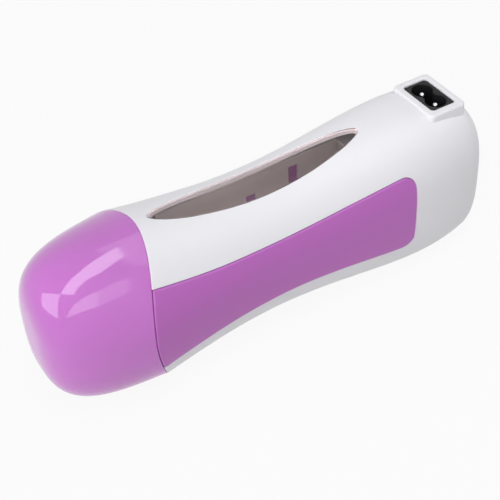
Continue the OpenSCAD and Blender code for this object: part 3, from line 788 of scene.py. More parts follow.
Finish = MouldedPlastic | SmokedLens | WorkedMetal | SoftMatter


# ---- the housing ----


@dataclass(frozen=True)
class GripShape:
    """Outline of a grip panel and of the recess that it sits in."""

    outline: Outline
    cap_gap: float = 0.3
    rim_h: float = 17.9
    rise: float = 1.5
    waist_h: float = 12.6
    end_h: float = 17.6
    waist_x: float = 58.0
    end: float = 120.0
    corner: float = 6.0
    recess: float = 1.3
    recess_start: float = -1.0
    tool_over: float = 1.5
    gap: float = 0.2
    under: float = 0.1
    proud: float = 0.35
    soft_edge: float = 0.55
    lip: float = 0.3
    hook_len: float = 4.6
    hook_high: float = 8.6
    hooks: tuple[tuple[float, float], ...] = ((91.4, 2.2), (71.0, -3.5))
    hook_tip: float = 20.95
    grid: tuple[int, int] = (132, 44)
    corner_points: int = 12
    edge_points: int = 7

    def height(self, x: Grid) -> Grid:
        """Half height at x: a parabola up to the waist, a smooth rise after it, then the round corner.

        Args:
            x: Places along the housing.

        Returns:
            The half height at each place.
        """
        u = (x - self.waist_x) / self.waist_x
        v = (x - self.waist_x) / (self.end - self.waist_x)
        front = self.waist_h + (self.rim_h - self.waist_h) * u * u
        back = self.waist_h + (self.end_h - self.waist_h) * (1 - (1 - v) ** 2) * v
        into = np.clip(x - (self.end - self.corner), 0, self.corner)
        drawn = self.corner - np.sqrt(self.corner ** 2 - into ** 2)
        return np.where(x < self.waist_x, front, back) - drawn

    def patch(self, level: Triple, mirrored: bool) -> Grid:
        """Grid over the panel: s along it from the bowed joint, v from its lower to its upper edge.

        x = x0 + (last - x0) s, z = v (height + more) + rise, and y is the side surface at a depth.

        Args:
            level: Distance of its front edge past the joint, how much its other edges are grown, and its
                depth under the housing's surface.
            mirrored: Whether it is the far panel.

        Returns:
            Points, by their place along and across the panel.
        """
        start, more, depth = level
        rows, columns = self.grid
        last = self.end + more
        flat = np.linspace(0, (last - self.corner) / last, rows - self.corner_points, endpoint=False)
        s = np.concatenate([flat, eased(flat[-1], self.corner_points)])[:, None]
        v = np.linspace(-1, 1, columns)[None, :]
        first_z = v * self.rim_h + self.rise
        rim = np.where(first_z > 0, self.outline.tops[0], self.outline.deeps[0])
        x0 = start + self.outline.rim_bow * (first_z / rim) ** 2
        x = x0 + (last - x0) * s
        rise = self.rise * np.clip(1 - x / self.waist_x, 0, None) ** 2
        z = v * (self.height(np.minimum(x, self.end)) + more) + rise
        side = self.outline.side(x, z, depth)
        return np.stack([x, side if mirrored else -side, z], axis=-1)

    def solid(self, name: str, levels: list[Triple], mirrored: bool, placing: Placing) -> bpy.types.Object:
        """A slab over the panel's outline: its first and last patch, and a wall through all their edges.

        Args:
            name: Name of the object.
            levels: The patches' levels, from one face to the other.
            mirrored: Whether it is the far panel.
            placing: Where the housing's axes lie.

        Returns:
            The object.
        """
        solid = Solid()
        patches = [self.patch(level, mirrored) for level in levels]
        solid.skin(solid.add(patches[0]))
        solid.skin(solid.add(patches[-1]))
        edges = [np.concatenate([p[:-1, 0], p[-1, :-1], p[:0:-1, -1], p[0, :0:-1]]) for p in patches]
        solid.skin(solid.add(np.stack(edges)), closed=True)
        return solid.build(name, placing)

    def recess_tool(self, mirrored: bool, placing: Placing) -> bpy.types.Object:
        """Cuts the recess with a rounded lip, and passes the cap joint.

        Args:
            mirrored: Whether it is the far recess.
            placing: Where the housing's axes lie.

        Returns:
            The tool.
        """
        walls = [(0.0, self.recess), (0.0, self.lip), *flared_lip(self.lip, self.tool_over)]
        levels = [(self.recess_start, self.gap + growth, depth) for growth, depth in walls]
        return self.solid("recess", levels, mirrored, placing)

    def panel(self, name: str, mirrored: bool, placing: Placing) -> bpy.types.Object:
        """The panel itself, its outer edge rounded, with the two hooks that reach in to the chamber.

        Args:
            name: Name of the object.
            mirrored: Whether it is the far panel.
            placing: Where the housing's axes lie.

        Returns:
            The piece.
        """
        edge = fillet(self.soft_edge, self.edge_points)
        levels = [(self.cap_gap + inset, -inset, drop - self.proud) for inset, drop in edge]
        levels.append((self.cap_gap, 0.0, self.recess - self.under))
        piece = self.solid(name, levels, mirrored, placing)
        for hook in self.hook_blocks(0.0, mirrored, placing):
            combine(piece, hook, Join.ADD)
        return smoothed(piece)

    def hook_blocks(self, more: float, mirrored: bool, placing: Placing) -> list[bpy.types.Object]:
        """Blocks of the hooks, from inside the panel to their tips.

        Args:
            more: Clearance that they are grown by.
            mirrored: Whether they are the far panel's.
            placing: Where the housing's axes lie.

        Returns:
            The blocks.
        """
        half = np.array([self.hook_len, self.hook_high]) / 2 + more
        blocks = []
        for x, z in self.hooks:
            root = float(self.outline.side(np.array(x), np.array(z), self.recess / 2))
            ends = (self.hook_tip, root) if mirrored else (-root, -self.hook_tip)
            low, high = (x - half[0], ends[0], z - half[1]), (x + half[0], ends[1], z + half[1])
            blocks.append(box_solid(low, high, "hook", placing))
        return blocks


@dataclass(frozen=True)
class WindowShape:
    """The eye-shaped wax level window: its opening, its skirt and its lens."""

    outline: Outline
    start: float = 15.9
    end: float = 109.1
    half_w: float = 8.4
    point: float = 1.06
    lens_thick: float = 1.4
    gap: float = 0.12
    seat: float = 0.02
    ledge: float = 0.7
    skirt_wall: float = 1.6
    skirt_deep: float = 2.8
    lip: float = 0.3
    tool_over: float = 2.0
    soft_edge: float = 0.12
    sides: int = 220
    lens_rings: int = 14
    edge_points: int = 5

    def loop(self, more: float, depth: float, shrink: float = 1.0) -> Grid:
        """The eye laid on the roof: x = middle + (half + more) cos t, y = (w + more) sin^p t.

        Args:
            more: How much it is grown.
            depth: Its depth under the roof.
            shrink: A factor on both about its middle.

        Returns:
            Its points once round.
        """
        turn = round_angles(self.sides)
        half = (self.end - self.start) / 2
        x = self.start + half + shrink * (half + more) * np.cos(turn)
        y = shrink * (self.half_w + more) * signed_power(np.sin(turn), self.point)
        return np.column_stack([x, y, self.outline.roof(x, y, depth)])

    def opening_tool(self, placing: Placing) -> bpy.types.Object:
        """Cuts the opening with a rounded lip, from a level bottom well under the shell.

        Args:
            placing: Where the housing's axes lie.

        Returns:
            The tool.
        """
        bottom = self.loop(0.0, self.skirt_deep)
        bottom[:, 2] = self.outline.tops[2] / 2
        walls = [(0.0, self.skirt_deep), (0.0, self.lip), *flared_lip(self.lip, self.tool_over)]
        return stacked([bottom, *(self.loop(growth, depth) for growth, depth in walls)], "opening", placing)

    def skirt(self, placing: Placing) -> bpy.types.Object:
        """The skirt under the roof round the opening, whose inner edge is the lens's ledge.

        Args:
            placing: Where the housing's axes lie.

        Returns:
            The block that the front shell takes in.
        """
        corners = ((-self.ledge, self.lens_thick), (self.skirt_wall, self.lens_thick),
                   (self.skirt_wall, self.skirt_deep), (-self.ledge, self.skirt_deep))
        return ringed([self.loop(more, depth) for more, depth in corners], "skirt", placing)

    def lens(self, placing: Placing) -> bpy.types.Object:
        """The lens: rings from its middle out, a rounded edge, its side and its underside.

        Args:
            placing: Where the housing's axes lie.

        Returns:
            The piece.
        """
        under = self.lens_thick - self.seat
        shrinks = np.linspace(0, 1, self.lens_rings + 1)[1:]
        loops = [self.loop(-self.gap - self.soft_edge, 0.0, shrink) for shrink in shrinks]
        edge = fillet(self.soft_edge, self.edge_points)[1:]
        loops += [self.loop(-self.gap - inset, drop) for inset, drop in edge]
        loops += [self.loop(-self.gap, under, shrink) for shrink in shrinks[::-1]]
        solid = Solid()
        numbers = solid.add(np.stack(loops))
        solid.skin(numbers, closed=True)
        x = (self.start + self.end) / 2
        for ring, depth in ((numbers[0], 0.0), (numbers[-1], under)):
            solid.fan(ring, [x, 0.0, float(self.outline.roof(np.array(x), np.array(0.0), depth))])
        return smoothed(solid.build("window_lens_dressed", placing))


@dataclass(frozen=True)
class InletShape:
    """The raised frame round the mains inlet, and the black insert with its figure 8 recess."""

    x: float = 143.6
    face_z: float = 32.0
    frame_len: float = 17.6
    frame_w: float = 26.0
    frame_round: float = 2.4
    frame_soft: float = 1.0
    round_loss: float = 0.8
    insert_len: float = 11.4
    insert_w: float = 19.4
    insert_round: float = 1.6
    insert_sink: float = 0.5
    fit_gap: float = 0.1
    pocket_soft: float = 0.25
    cut_wall: float = 1.5
    cut_round: float = 1.0
    cut_over: float = 5.0
    deep: float = 14.0
    root: float = 2.0
    pin_pitch: float = 8.6
    pin_root_d: float = 3.2
    drill_past: float = 1.0
    lobe_r: float = 4.3
    waist_share: float = 0.62
    lobe_points: int = 60
    socket_deep: float = 10.0
    rim_soft: float = 0.35
    rim_sweep: float = 70.0
    rim_end: tuple[float, float] = (1.2, -0.3)
    frame_points: int = 8
    pocket_points: int = 4
    insert_points: int = 5
    rim_points: int = 4

    def level(self, half: Grid, radius: float, z: float) -> Grid:
        """A rounded rectangle about the inlet's middle, at one height."""
        return laid(rounded_loop(half, radius) + np.array([self.x, 0.0]), z)

    def frame_ring(self, placing: Placing) -> bpy.types.Object:
        """The frame as a ring: up its outer wall, round its soft edge, over its face and down the pocket.

        Args:
            placing: Where the housing's axes lie.

        Returns:
            The block that the front shell takes in.
        """
        outer = np.array([self.frame_len, self.frame_w]) / 2
        pocket = np.array([self.insert_len, self.insert_w]) / 2 + self.fit_gap
        root_z = self.face_z - self.deep - self.root
        loops = [self.level(outer, self.frame_round, root_z)]
        loops += [self.level(outer - inset, self.frame_round - inset * self.round_loss, self.face_z - drop)
                  for inset, drop in reversed(fillet(self.frame_soft, self.frame_points))]
        loops += [self.level(pocket + inset, self.insert_round + inset, self.face_z - drop)
                  for inset, drop in fillet(self.pocket_soft, self.pocket_points)]
        loops.append(self.level(pocket, self.insert_round, root_z))
        return ringed(loops, "inlet_frame", placing)

    def pocket_tool(self, placing: Placing) -> bpy.types.Object:
        """Cuts the shell away inside the frame's walls.

        Args:
            placing: Where the housing's axes lie.

        Returns:
            The tool.
        """
        half = np.array([self.insert_len, self.insert_w]) / 2 + self.cut_wall
        loops = [self.level(half, self.cut_round, z) for z in (0.0, self.face_z + self.cut_over)]
        return stacked(loops, "pocket", placing)

    def figure_eight(self, more: float, z: float) -> Grid:
        """Two circles joined by a straight web: arcs round each pin, their ends at the web's half width.

        Args:
            more: How much it is grown.
            z: Its height.

        Returns:
            Its points once round.
        """
        radius = self.lobe_r + more
        meet = math.asin((self.lobe_r * self.waist_share + more) / radius)
        arc = np.linspace(-math.pi / 2 + meet, 1.5 * math.pi - meet, self.lobe_points)
        upper = np.column_stack([radius * np.cos(arc), self.pin_pitch / 2 + radius * np.sin(arc)])
        return laid(np.vstack([upper, -upper]) + np.array([self.x, 0.0]), z)

    def insert(self, placing: Placing) -> bpy.types.Object:
        """The black insert: soft top edges, a figure 8 recess with a soft rim and holes for the pins.

        Args:
            placing: Where the housing's axes lie.

        Returns:
            The piece.
        """
        half = np.array([self.insert_len, self.insert_w]) / 2
        top, bottom = self.face_z - self.insert_sink, self.face_z - self.deep
        loops = [self.level(half - inset, self.insert_round - inset, top - drop)
                 for inset, drop in fillet(self.rim_soft, self.insert_points)]
        loops.append(self.level(half, self.insert_round, bottom))
        piece = stacked(loops, "inlet_insert", placing)
        rim = rounded_lip(self.rim_soft, self.rim_sweep, self.rim_points)
        walls = [(0.0, self.socket_deep), (0.0, self.rim_soft), *rim, self.rim_end]
        socket = [self.figure_eight(growth, top - depth) for growth, depth in walls]
        combine(piece, stacked(socket, "socket", placing), Join.CUT)
        span = (bottom - self.drill_past, top - self.socket_deep + self.drill_past)
        for y in (-self.pin_pitch / 2, self.pin_pitch / 2):
            hole = upright_cylinder((self.x, y), span, self.pin_root_d / 2 + self.fit_gap, placing)
            combine(piece, hole, Join.CUT)
        return smoothed(piece)


@dataclass(frozen=True)
class ScrewShape:
    """Screw bosses between the two shells, with pilot holes in front and counterbores behind."""

    places: tuple[tuple[float, float], ...] = ((123.1, -15.5), (123.1, 15.5), (151.0, -8.0), (151.0, 8.0))
    land: float = -4.0
    seam_gap: float = 0.1
    bite: float = 14.0
    head_z: float = -14.0
    boss_d: float = 7.4
    pilot_d: float = 2.6
    clear_d: float = 2.8
    head_d: float = 5.2
    boss_top: float = 40.0
    boss_bottom: float = -50.0
    drill_from: float = -60.0
    drill_past: float = 1.0


@dataclass
class Housing:
    """The two white shells, with the recesses, window, inlet frame and bosses that they carry."""

    outline: Outline
    grip: GripShape
    window: WindowShape
    inlet: InletShape
    screws: ScrewShape
    placing: Placing
    edge: float = 0.15
    core_start: float = -2.0
    half_box: tuple[Triple, Triple] = ((-30.0, -60.0, 0.0), (200.0, 60.0, 60.0))
    outer_grid: tuple[int, int] = (190, 320)
    core_grid: tuple[int, int] = (80, 160)
    trim_grid: tuple[int, int] = (60, 120)
    butt_points: int = 21
    edge_points: int = 5
    end_rings: tuple[float, ...] = (0.85, 0.5, 0.2)

    def rings(self, depth: float, start: float, grid: tuple[int, int]) -> list[Grid]:
        """Rings down the housing from the bowed joint to the butt: x = x0 + (end - x0) s at each angle.

        Args:
            depth: Depth under the surface. At none the front edge is rounded.
            start: Distance of the first ring past the joint.
            grid: How many rings lie before the butt's edge, and how many points each has.

        Returns:
            The rings.
        """
        outline = self.outline
        angle = round_angles(grid[1])
        x0 = outline.joint(angle) + outline.joint_gap + start
        end = outline.length - depth
        bend = 1 - outline.end_round / outline.length
        shares = np.concatenate([np.linspace(0, bend, grid[0]), eased(bend, self.butt_points)])
        opening = []
        if depth == 0:
            edge = fillet(self.edge, self.edge_points)[:0:-1]
            opening = [outline.section(x0 + inset, angle, drop) for inset, drop in edge]
            x0 = x0 + self.edge
        return opening + [self.ring(x0 + (end - x0) * share, angle, depth) for share in shares]

    def ring(self, x: Grid, angle: Grid, depth: float) -> Grid:
        """One ring. Under the surface the butt's edge is rounded by the depth less."""
        change = self.outline.drawn_in(x, depth) - self.outline.drawn_in(x)
        return self.outline.section(x, angle, depth + change)

    def body(self, depth: float, start: float, grid: tuple[int, int]) -> bpy.types.Object:
        """The housing as one closed solid, a depth under its surface. Its ends close in rings to the axis.

        Args:
            depth: Depth under the surface.
            start: Distance of its front end past the joint.
            grid: How many rings lie before the butt's edge, and how many points each has.

        Returns:
            The solid.
        """
        rings = self.rings(depth, start, grid)
        front, back = rings[0], rings[-1]
        closing = [front * np.array([1, share, share]) for share in reversed(self.end_rings)]
        ending = [back * np.array([1, share, share]) for share in self.end_rings]
        solid = Solid()
        numbers = solid.add(np.stack(closing + rings + ending))
        solid.skin(numbers, closed=True)
        solid.fan(numbers[0], [front[:, 0].min(), 0, 0])
        solid.fan(numbers[-1], [back[:, 0].max(), 0, 0])
        return solid.build("body", self.placing)

    def half(self, name: str, over: bool) -> bpy.types.Object:
        """One shell: the body, hollowed, kept on one side of the parting plane, with the grip recesses.

        Args:
            name: Name of the object.
            over: Whether it is the side over the parting plane.

        Returns:
            The shell.
        """
        piece = self.body(0.0, 0.0, self.outer_grid)
        piece.name = piece.data.name = name
        combine(piece, self.body(self.outline.wall, self.core_start, self.core_grid), Join.CUT)
        low, high = self.half_box
        if not over:
            low, high = (*low[:2], self.placing.lowest), (*high[:2], 0.0)
        combine(piece, box_solid(low, high, "half", self.placing), Join.KEEP)
        for mirrored in (False, True):
            combine(piece, self.grip.recess_tool(mirrored, self.placing), Join.CUT)
        return piece

    def bosses(self, piece: bpy.types.Object, low: float, high: float) -> None:
        """Adds the screw bosses, trimmed inside the shell's wall.

        Args:
            piece: The shell.
            low: The height where they begin.
            high: The height where they end.
        """
        for place in self.screws.places:
            boss = upright_cylinder(place, (low, high), self.screws.boss_d / 2, self.placing)
            combine(boss, self.body(self.outline.wall / 2, 0.0, self.trim_grid), Join.KEEP)
            combine(piece, boss, Join.ADD)

    def drill(self, piece: bpy.types.Object, low: float, high: float, diameter: float) -> None:
        """Drills every screw place between two heights."""
        for place in self.screws.places:
            combine(piece, upright_cylinder(place, (low, high), diameter / 2, self.placing), Join.CUT)

    def hook_holes(self, piece: bpy.types.Object) -> None:
        """Cuts the holes that the grip panels' hooks pass.

        Args:
            piece: The shell.
        """
        for mirrored in (False, True):
            for block in self.grip.hook_blocks(self.inlet.fit_gap, mirrored, self.placing):
                combine(piece, block, Join.CUT)

    def front(self) -> bpy.types.Object:
        """The front shell with its window, skirt, inlet frame and bosses.

        Returns:
            The piece.
        """
        screws = self.screws
        piece = self.half("front_shell_dressed", True)
        combine(piece, self.window.opening_tool(self.placing), Join.CUT)
        combine(piece, self.window.skirt(self.placing), Join.ADD)
        self.bosses(piece, screws.land, screws.boss_top)
        combine(piece, self.inlet.pocket_tool(self.placing), Join.CUT)
        combine(piece, self.inlet.frame_ring(self.placing), Join.ADD)
        self.drill(piece, screws.land - screws.drill_past, screws.land + screws.bite, screws.pilot_d)
        self.hook_holes(piece)
        return smoothed(piece)

    def rear(self) -> bpy.types.Object:
        """The rear shell with its bosses, screw holes and counterbores.

        Returns:
            The piece.
        """
        screws = self.screws
        piece = self.half("rear_shell_dressed", False)
        self.bosses(piece, screws.boss_bottom, screws.land - screws.seam_gap)
        self.drill(piece, screws.drill_from, 0.0, screws.clear_d)
        self.drill(piece, screws.drill_from, screws.head_z, screws.head_d)
        self.hook_holes(piece)
        return smoothed(piece)


# ---- cap and neck ----


@dataclass(frozen=True)
class CapShape:
    """The pull-off cap and the neck that it slides on."""

    outline: Outline
    length: float = 35.4
    square: float = 3.2
    square_side: float = 3.9
    side_taper: float = -0.27
    top_taper: float = -0.02
    deep_taper: float = 0.17
    tip_power: float = 2 / 3
    wall: float = 1.9
    inner_share: float = 0.95
    edge: float = 0.2
    edge_points: int = 6
    sides: int = 256
    rings: int = 110
    inner_rings: int = 40
    neck_in: float = 2.4
    neck_wall: float = 1.8
    neck_reach: float = 13.0
    neck_hold: float = 5.0
    neck_sides: int = 180
    chamfer: tuple[float, float] = (0.8, 0.6)
    bead: float = 0.2
    bead_half: float = 1.0
    bead_share: float = 0.6
    mouth_plate: float = 3.0
    plate_back: float = 1.0
    bore: tuple[float, float, float, float] = (41.0, 32.0, 12.5, 2.1)
    bore_soft: float = 0.5
    bore_past: tuple[float, float] = (0.3, 0.5)
    bore_points: int = 24

    def shrink(self, s: Grid, square: float, taper: Grid | float) -> Grid:
        """How far the section has shrunk: (1 + taper s) (1 - s^n)^(1/n)."""
        return (1 + taper * s) * np.clip(1 - np.clip(s, 0, 1) ** square, 0, None) ** (1 / square)

    def section(self, s: Grid, angle: Grid, depth: Grid | float = 0.0, swell: bool = True) -> Grid:
        """Points of the cap: the rim's superellipse, its axes times their shrink, less the depth.

        x runs evenly from the bowed joint to the tip with s.

        Args:
            s: Share of the way from the bowed joint to the tip.
            angle: Angles from +y over the top, in radians.
            depth: Depth under the surface.
            swell: Whether it may get deeper than its rim.

        Returns:
            Points, with their three coordinates last.
        """
        outline = self.outline
        x0 = outline.joint(angle)
        over = np.sin(angle) >= 0
        power = 2 / np.where(over, outline.rim_square, outline.bottom_square)
        wide = outline.along(outline.half_widths, x0)
        high = np.where(over, outline.along(outline.tops, x0), outline.along(outline.deeps, x0))
        tall = self.shrink(s, self.square_side, np.where(over, self.top_taper, self.deep_taper))
        kept = tall if swell else np.minimum(1, tall)
        y = (wide * self.shrink(s, self.square, self.side_taper) - depth) * signed_power(np.cos(angle), power)
        z = (high * kept - depth) * signed_power(np.sin(angle), power)
        return np.stack([x0 - (x0 + self.length) * s, y, z], axis=-1)

    def shares(self, count: int) -> Grid:
        """Shares of the way to the tip that crowd together there: sin^(2/3) t over a quarter turn."""
        return np.sin(np.linspace(0, math.pi / 2, count)) ** self.tip_power

    def cap(self, placing: Placing) -> bpy.types.Object:
        """The cap: down its outside from a rounded rim to the tip, and back up its inside.

        Args:
            placing: Where the housing's axes lie.

        Returns:
            The piece.
        """
        angle = round_angles(self.sides)
        run = self.outline.joint(angle) + self.length
        first = self.edge / run
        rim = reversed(fillet(self.edge, self.edge_points))
        outer = [self.section(inset / run, angle, drop) for inset, drop in rim]
        outer += [self.section(first + (1 - first) * share, angle) for share in self.shares(self.rings)[1:-1]]
        inner = [self.section(np.full_like(angle, self.inner_share * share), angle, self.wall)
                 for share in self.shares(self.inner_rings)[:-1]]
        solid = Solid()
        outside = solid.add(np.stack(outer))
        inside = solid.add(np.stack(inner))
        solid.skin(outside, closed=True)
        solid.skin(inside, closed=True)
        solid.skin(np.stack([outside[0], inside[0]]), closed=True)
        solid.fan(outside[-1], [-self.length, 0, 0])
        solid.fan(inside[-1], [-self.length * self.inner_share, 0, 0])
        return smoothed(solid.build("cap_dressed", placing))

    def neck_ring(self, x: float, angle: Grid, depth: float) -> Grid:
        """A ring of the neck: on the housing's section past the joint, and on the cap's before it.

        Args:
            x: Its place along the housing.
            angle: Its points' angles, in radians.
            depth: Depth under the surface.

        Returns:
            Its points.
        """
        joint = self.outline.joint(angle)
        s = np.clip((joint - x) / (joint + self.length), 0, 1)
        before = self.section(s, angle, depth, swell=False)
        after = self.outline.section(np.full_like(angle, x), angle, depth)
        return np.where((x > joint)[:, None], after, before)

    def bore_tool(self, front: float, placing: Placing) -> bpy.types.Object:
        """Cuts the chamber's mouth through the plate, with a slant at its front.

        Args:
            front: Place of the plate's front.
            placing: Where the housing's axes lie.

        Returns:
            The tool.
        """
        wide, high, radius, mid_z = self.bore
        half, soft, past = np.array([high, wide]) / 2, self.bore_soft, self.bore_past
        loop = rounded_loop(half, radius, self.bore_points)
        flare = rounded_loop(half + soft, radius + soft, self.bore_points)
        places = ((front - past[0], flare), (front + soft, loop), (past[1], loop))
        loops = [np.column_stack([np.full(len(ring), x), ring[:, 1], mid_z + ring[:, 0]])
                 for x, ring in places]
        return stacked(loops, "bore", placing)

    def neck(self, placing: Placing) -> bpy.types.Object:
        """The neck: a tube with a snap bead and a chamfered lip, and the plate that holds the chamber.

        Args:
            placing: Where the housing's axes lie.

        Returns:
            The piece.
        """
        angle = round_angles(self.neck_sides)
        tip, back = -self.neck_reach, self.outline.rim_bow + self.neck_hold
        bead_x = tip * self.bead_share
        profile = [(tip, self.chamfer[1]), (tip + self.chamfer[0], 0.0), (bead_x - self.bead_half, 0.0),
                   (bead_x, -self.bead), (bead_x + self.bead_half, 0.0), (0.0, 0.0),
                   (self.outline.rim_bow / 2, 0.0), (back, 0.0),
                   (back, self.neck_wall), (0.0, self.neck_wall), (tip, self.neck_wall)]
        loops = [self.neck_ring(x, angle, self.neck_in + depth) for x, depth in profile]
        piece = ringed(loops, "neck_collar_dressed", placing)
        front = -self.plate_back - self.mouth_plate
        plate_in = self.neck_in + self.neck_wall / 2
        plate = [self.neck_ring(x, angle, plate_in) for x in (front, -self.plate_back)]
        combine(piece, stacked(plate, "plate", placing), Join.ADD)
        combine(piece, self.bore_tool(front, placing), Join.CUT)
        return smoothed(piece)


# ---- studio ----


@dataclass(frozen=True)
class Softbox:
    """A lamp with an even face: its middle, the way its long side runs, its size and its radiance."""

    name: str
    middle: Triple
    run: Triple
    size: tuple[float, float]
    radiance: float
    in_gloss: bool = True
    aim: Triple = (-0.05, 0.0, 0.05)

    def light(self) -> None:
        """Adds the lamp, facing the object. Its power in watts is radiance times pi times its area."""
        data = bpy.data.lights.new(self.name, "AREA")
        data.shape = "RECTANGLE"
        data.size, data.size_y = self.size
        data.energy = self.radiance * math.pi * self.size[0] * self.size[1]
        data.color = LAMP_COLOUR
        away = (Vector(self.middle) - Vector(self.aim)).normalized()
        across = away.cross(Vector(self.run)).normalized()
        matrix = Matrix((across.cross(away), across, away)).transposed().to_4x4()
        matrix.translation = Vector(self.middle)
        lamp = linked(self.name, data)
        lamp.matrix_world = matrix
        lamp.visible_camera = False
        lamp.visible_glossy = self.in_gloss


@dataclass(frozen=True)
class LightSheet:
    """A glowing sheet between two rows of points, which the camera doesn't see."""

    name: str
    upper: tuple[Triple, ...]
    lower: tuple[Triple, ...]
    radiance: float

    def light(self) -> None:
        """Adds the sheet: quads between the rows, with an even glow."""
        count = len(self.upper)
        quads = [(k, k + 1, count + k + 1, count + k) for k in range(count - 1)]
        graph = Graph(bpy.data.materials.new(self.name))
        mesh = bpy.data.meshes.new(self.name)
        mesh.from_pydata([*self.upper, *self.lower], [], quads)
        mesh.materials.append(graph.shown(graph.glow(LAMP_COLOUR, self.radiance)))
        sheet = linked(self.name, mesh)
        sheet.visible_camera = False


@dataclass(frozen=True)
class Studio:
    """Pale floor, white surround, softboxes, glowing sheets and the camera at the photograph's angle."""

    camera_place: Triple = (-0.1914, -0.32634, 0.36457)
    azimuth: float = -29.834
    elevation: float = 41.865
    roll: float = -3.048
    lens_mm: float = 92.52
    sensor_mm: float = 36.0
    surround: float = 0.27
    floor_half: float = 6.0
    floor_glow: float = 0.92
    floor_colour: Colour = (0.60, 0.595, 0.59)
    floor_roughness: float = 0.9
    softboxes: tuple[Softbox, ...] = (
        Softbox("left_fill", (-1.5, 0.3, 0.5), (0.0, 1.0, 0.0), (1.4, 0.9), 1.3, in_gloss=False),
        Softbox("wide_top", (0.75, -0.05, 1.15), (1.0, 0.0, 0.0), (1.4, 1.2), 0.95),
        Softbox("camera_side", (-0.60, -1.10, 1.20), (1.0, -0.5, 0.0), (1.6, 1.4), 0.15),
    )
    sheets: tuple[LightSheet, ...] = (
        LightSheet("overhead_strip",
                   ((-0.894, -0.5, 0.878), (-0.538, -0.336, 1.179), (-0.199, -0.158, 1.298),
                    (0.052, 0.058, 1.306), (0.153, 0.148, 1.285), (0.212, 0.224, 1.262)),
                   ((-0.638, -0.725, 0.924), (-0.436, -0.604, 1.102), (-0.232, -0.498, 1.202),
                    (-0.049, -0.426, 1.241), (0.084, -0.281, 1.274), (0.172, -0.133, 1.285)), 5.2),
        LightSheet("left_patch",
                   ((-1.238, 0.14, 0.534), (-1.18, -0.03, 0.62), (-0.90, -0.49, 0.87)),
                   ((-1.315, 0.09, 0.03), (-1.29, -0.22, 0.03), (-1.208, -0.576, 0.072)), 4.2),
        LightSheet("near_strip",
                   ((-0.763, -0.873, 0.662), (-0.438, -0.872, 0.895), (-0.25, -0.85, 0.955)),
                   ((-1.054, -0.799, 0.188), (-0.683, -1.03, 0.477), (-0.42, -1.08, 0.60)), 3.4),
        LightSheet("near_strip_end",
                   ((-0.25, -0.85, 0.955), (-0.034, -0.758, 1.066), (0.037, -0.74, 1.075)),
                   ((-0.42, -1.08, 0.60), (-0.151, -1.054, 0.755), (-0.055, -0.993, 0.842)), 2.3),
    )

    def camera(self) -> None:
        """Sets the camera: right, up and back from azimuth and elevation, then turned by the roll."""
        a, e, r = (math.radians(v) for v in (self.azimuth, self.elevation, self.roll))
        right = np.array([math.cos(a), math.sin(a), 0.0])
        up = np.array([-math.sin(a) * math.sin(e), math.cos(a) * math.sin(e), math.cos(e)])
        back = np.array([math.sin(a) * math.cos(e), -math.cos(a) * math.cos(e), math.sin(e)])
        turned = (right * math.cos(r) + up * math.sin(r), up * math.cos(r) - right * math.sin(r), back)
        matrix = Matrix(np.stack(turned).tolist()).transposed().to_4x4()
        matrix.translation = Vector(self.camera_place)
        data = bpy.data.cameras.new("camera")
        data.lens = self.lens_mm
        data.sensor_width = self.sensor_mm
        camera = linked("camera", data)
        camera.matrix_world = matrix
        bpy.context.scene.camera = camera

    def floor(self) -> None:
        """A wide pale floor that shows white to the camera and keeps the object's shadow."""
        half = self.floor_half
        mesh = bpy.data.meshes.new("floor")
        mesh.from_pydata([(-half, -half, 0.0), (half, -half, 0.0), (half, half, 0.0), (-half, half, 0.0)],
                         [], [(0, 1, 2, 3)])
        graph = Graph(bpy.data.materials.new("floor"))
        lit = graph.body({"Base Color": (*self.floor_colour, 1.0), "Roughness": self.floor_roughness})
        shader = graph.blend(self.floor_glow * graph.seen(), lit, graph.glow(WHITE, 1.0))
        mesh.materials.append(graph.shown(shader))
        floor = linked("floor", mesh)

    def world(self) -> None:
        """White to camera, gloss and glass rays, and a plain dimmer surround to the rest."""
        graph = Graph(bpy.data.worlds.new("surround"), "ShaderNodeOutputWorld")
        ends = {"Value": graph.seen(), "To Min": self.surround, "To Max": 1.0}
        strength = graph.node("ShaderNodeMapRange", {"clamp": True}, ends)
        inputs = {"Color": (*WHITE, 1.0), "Strength": strength}
        bpy.context.scene.world = graph.shown(graph.node("ShaderNodeBackground", inputs=inputs))

    def build(self) -> None:
        """Sets the whole studio up."""
        self.camera()
        self.floor()
        self.world()
        for light in (*self.softboxes, *self.sheets):
            light.light()
        bpy.context.scene.view_settings.view_transform = "Standard"


# ---- putting it together ----


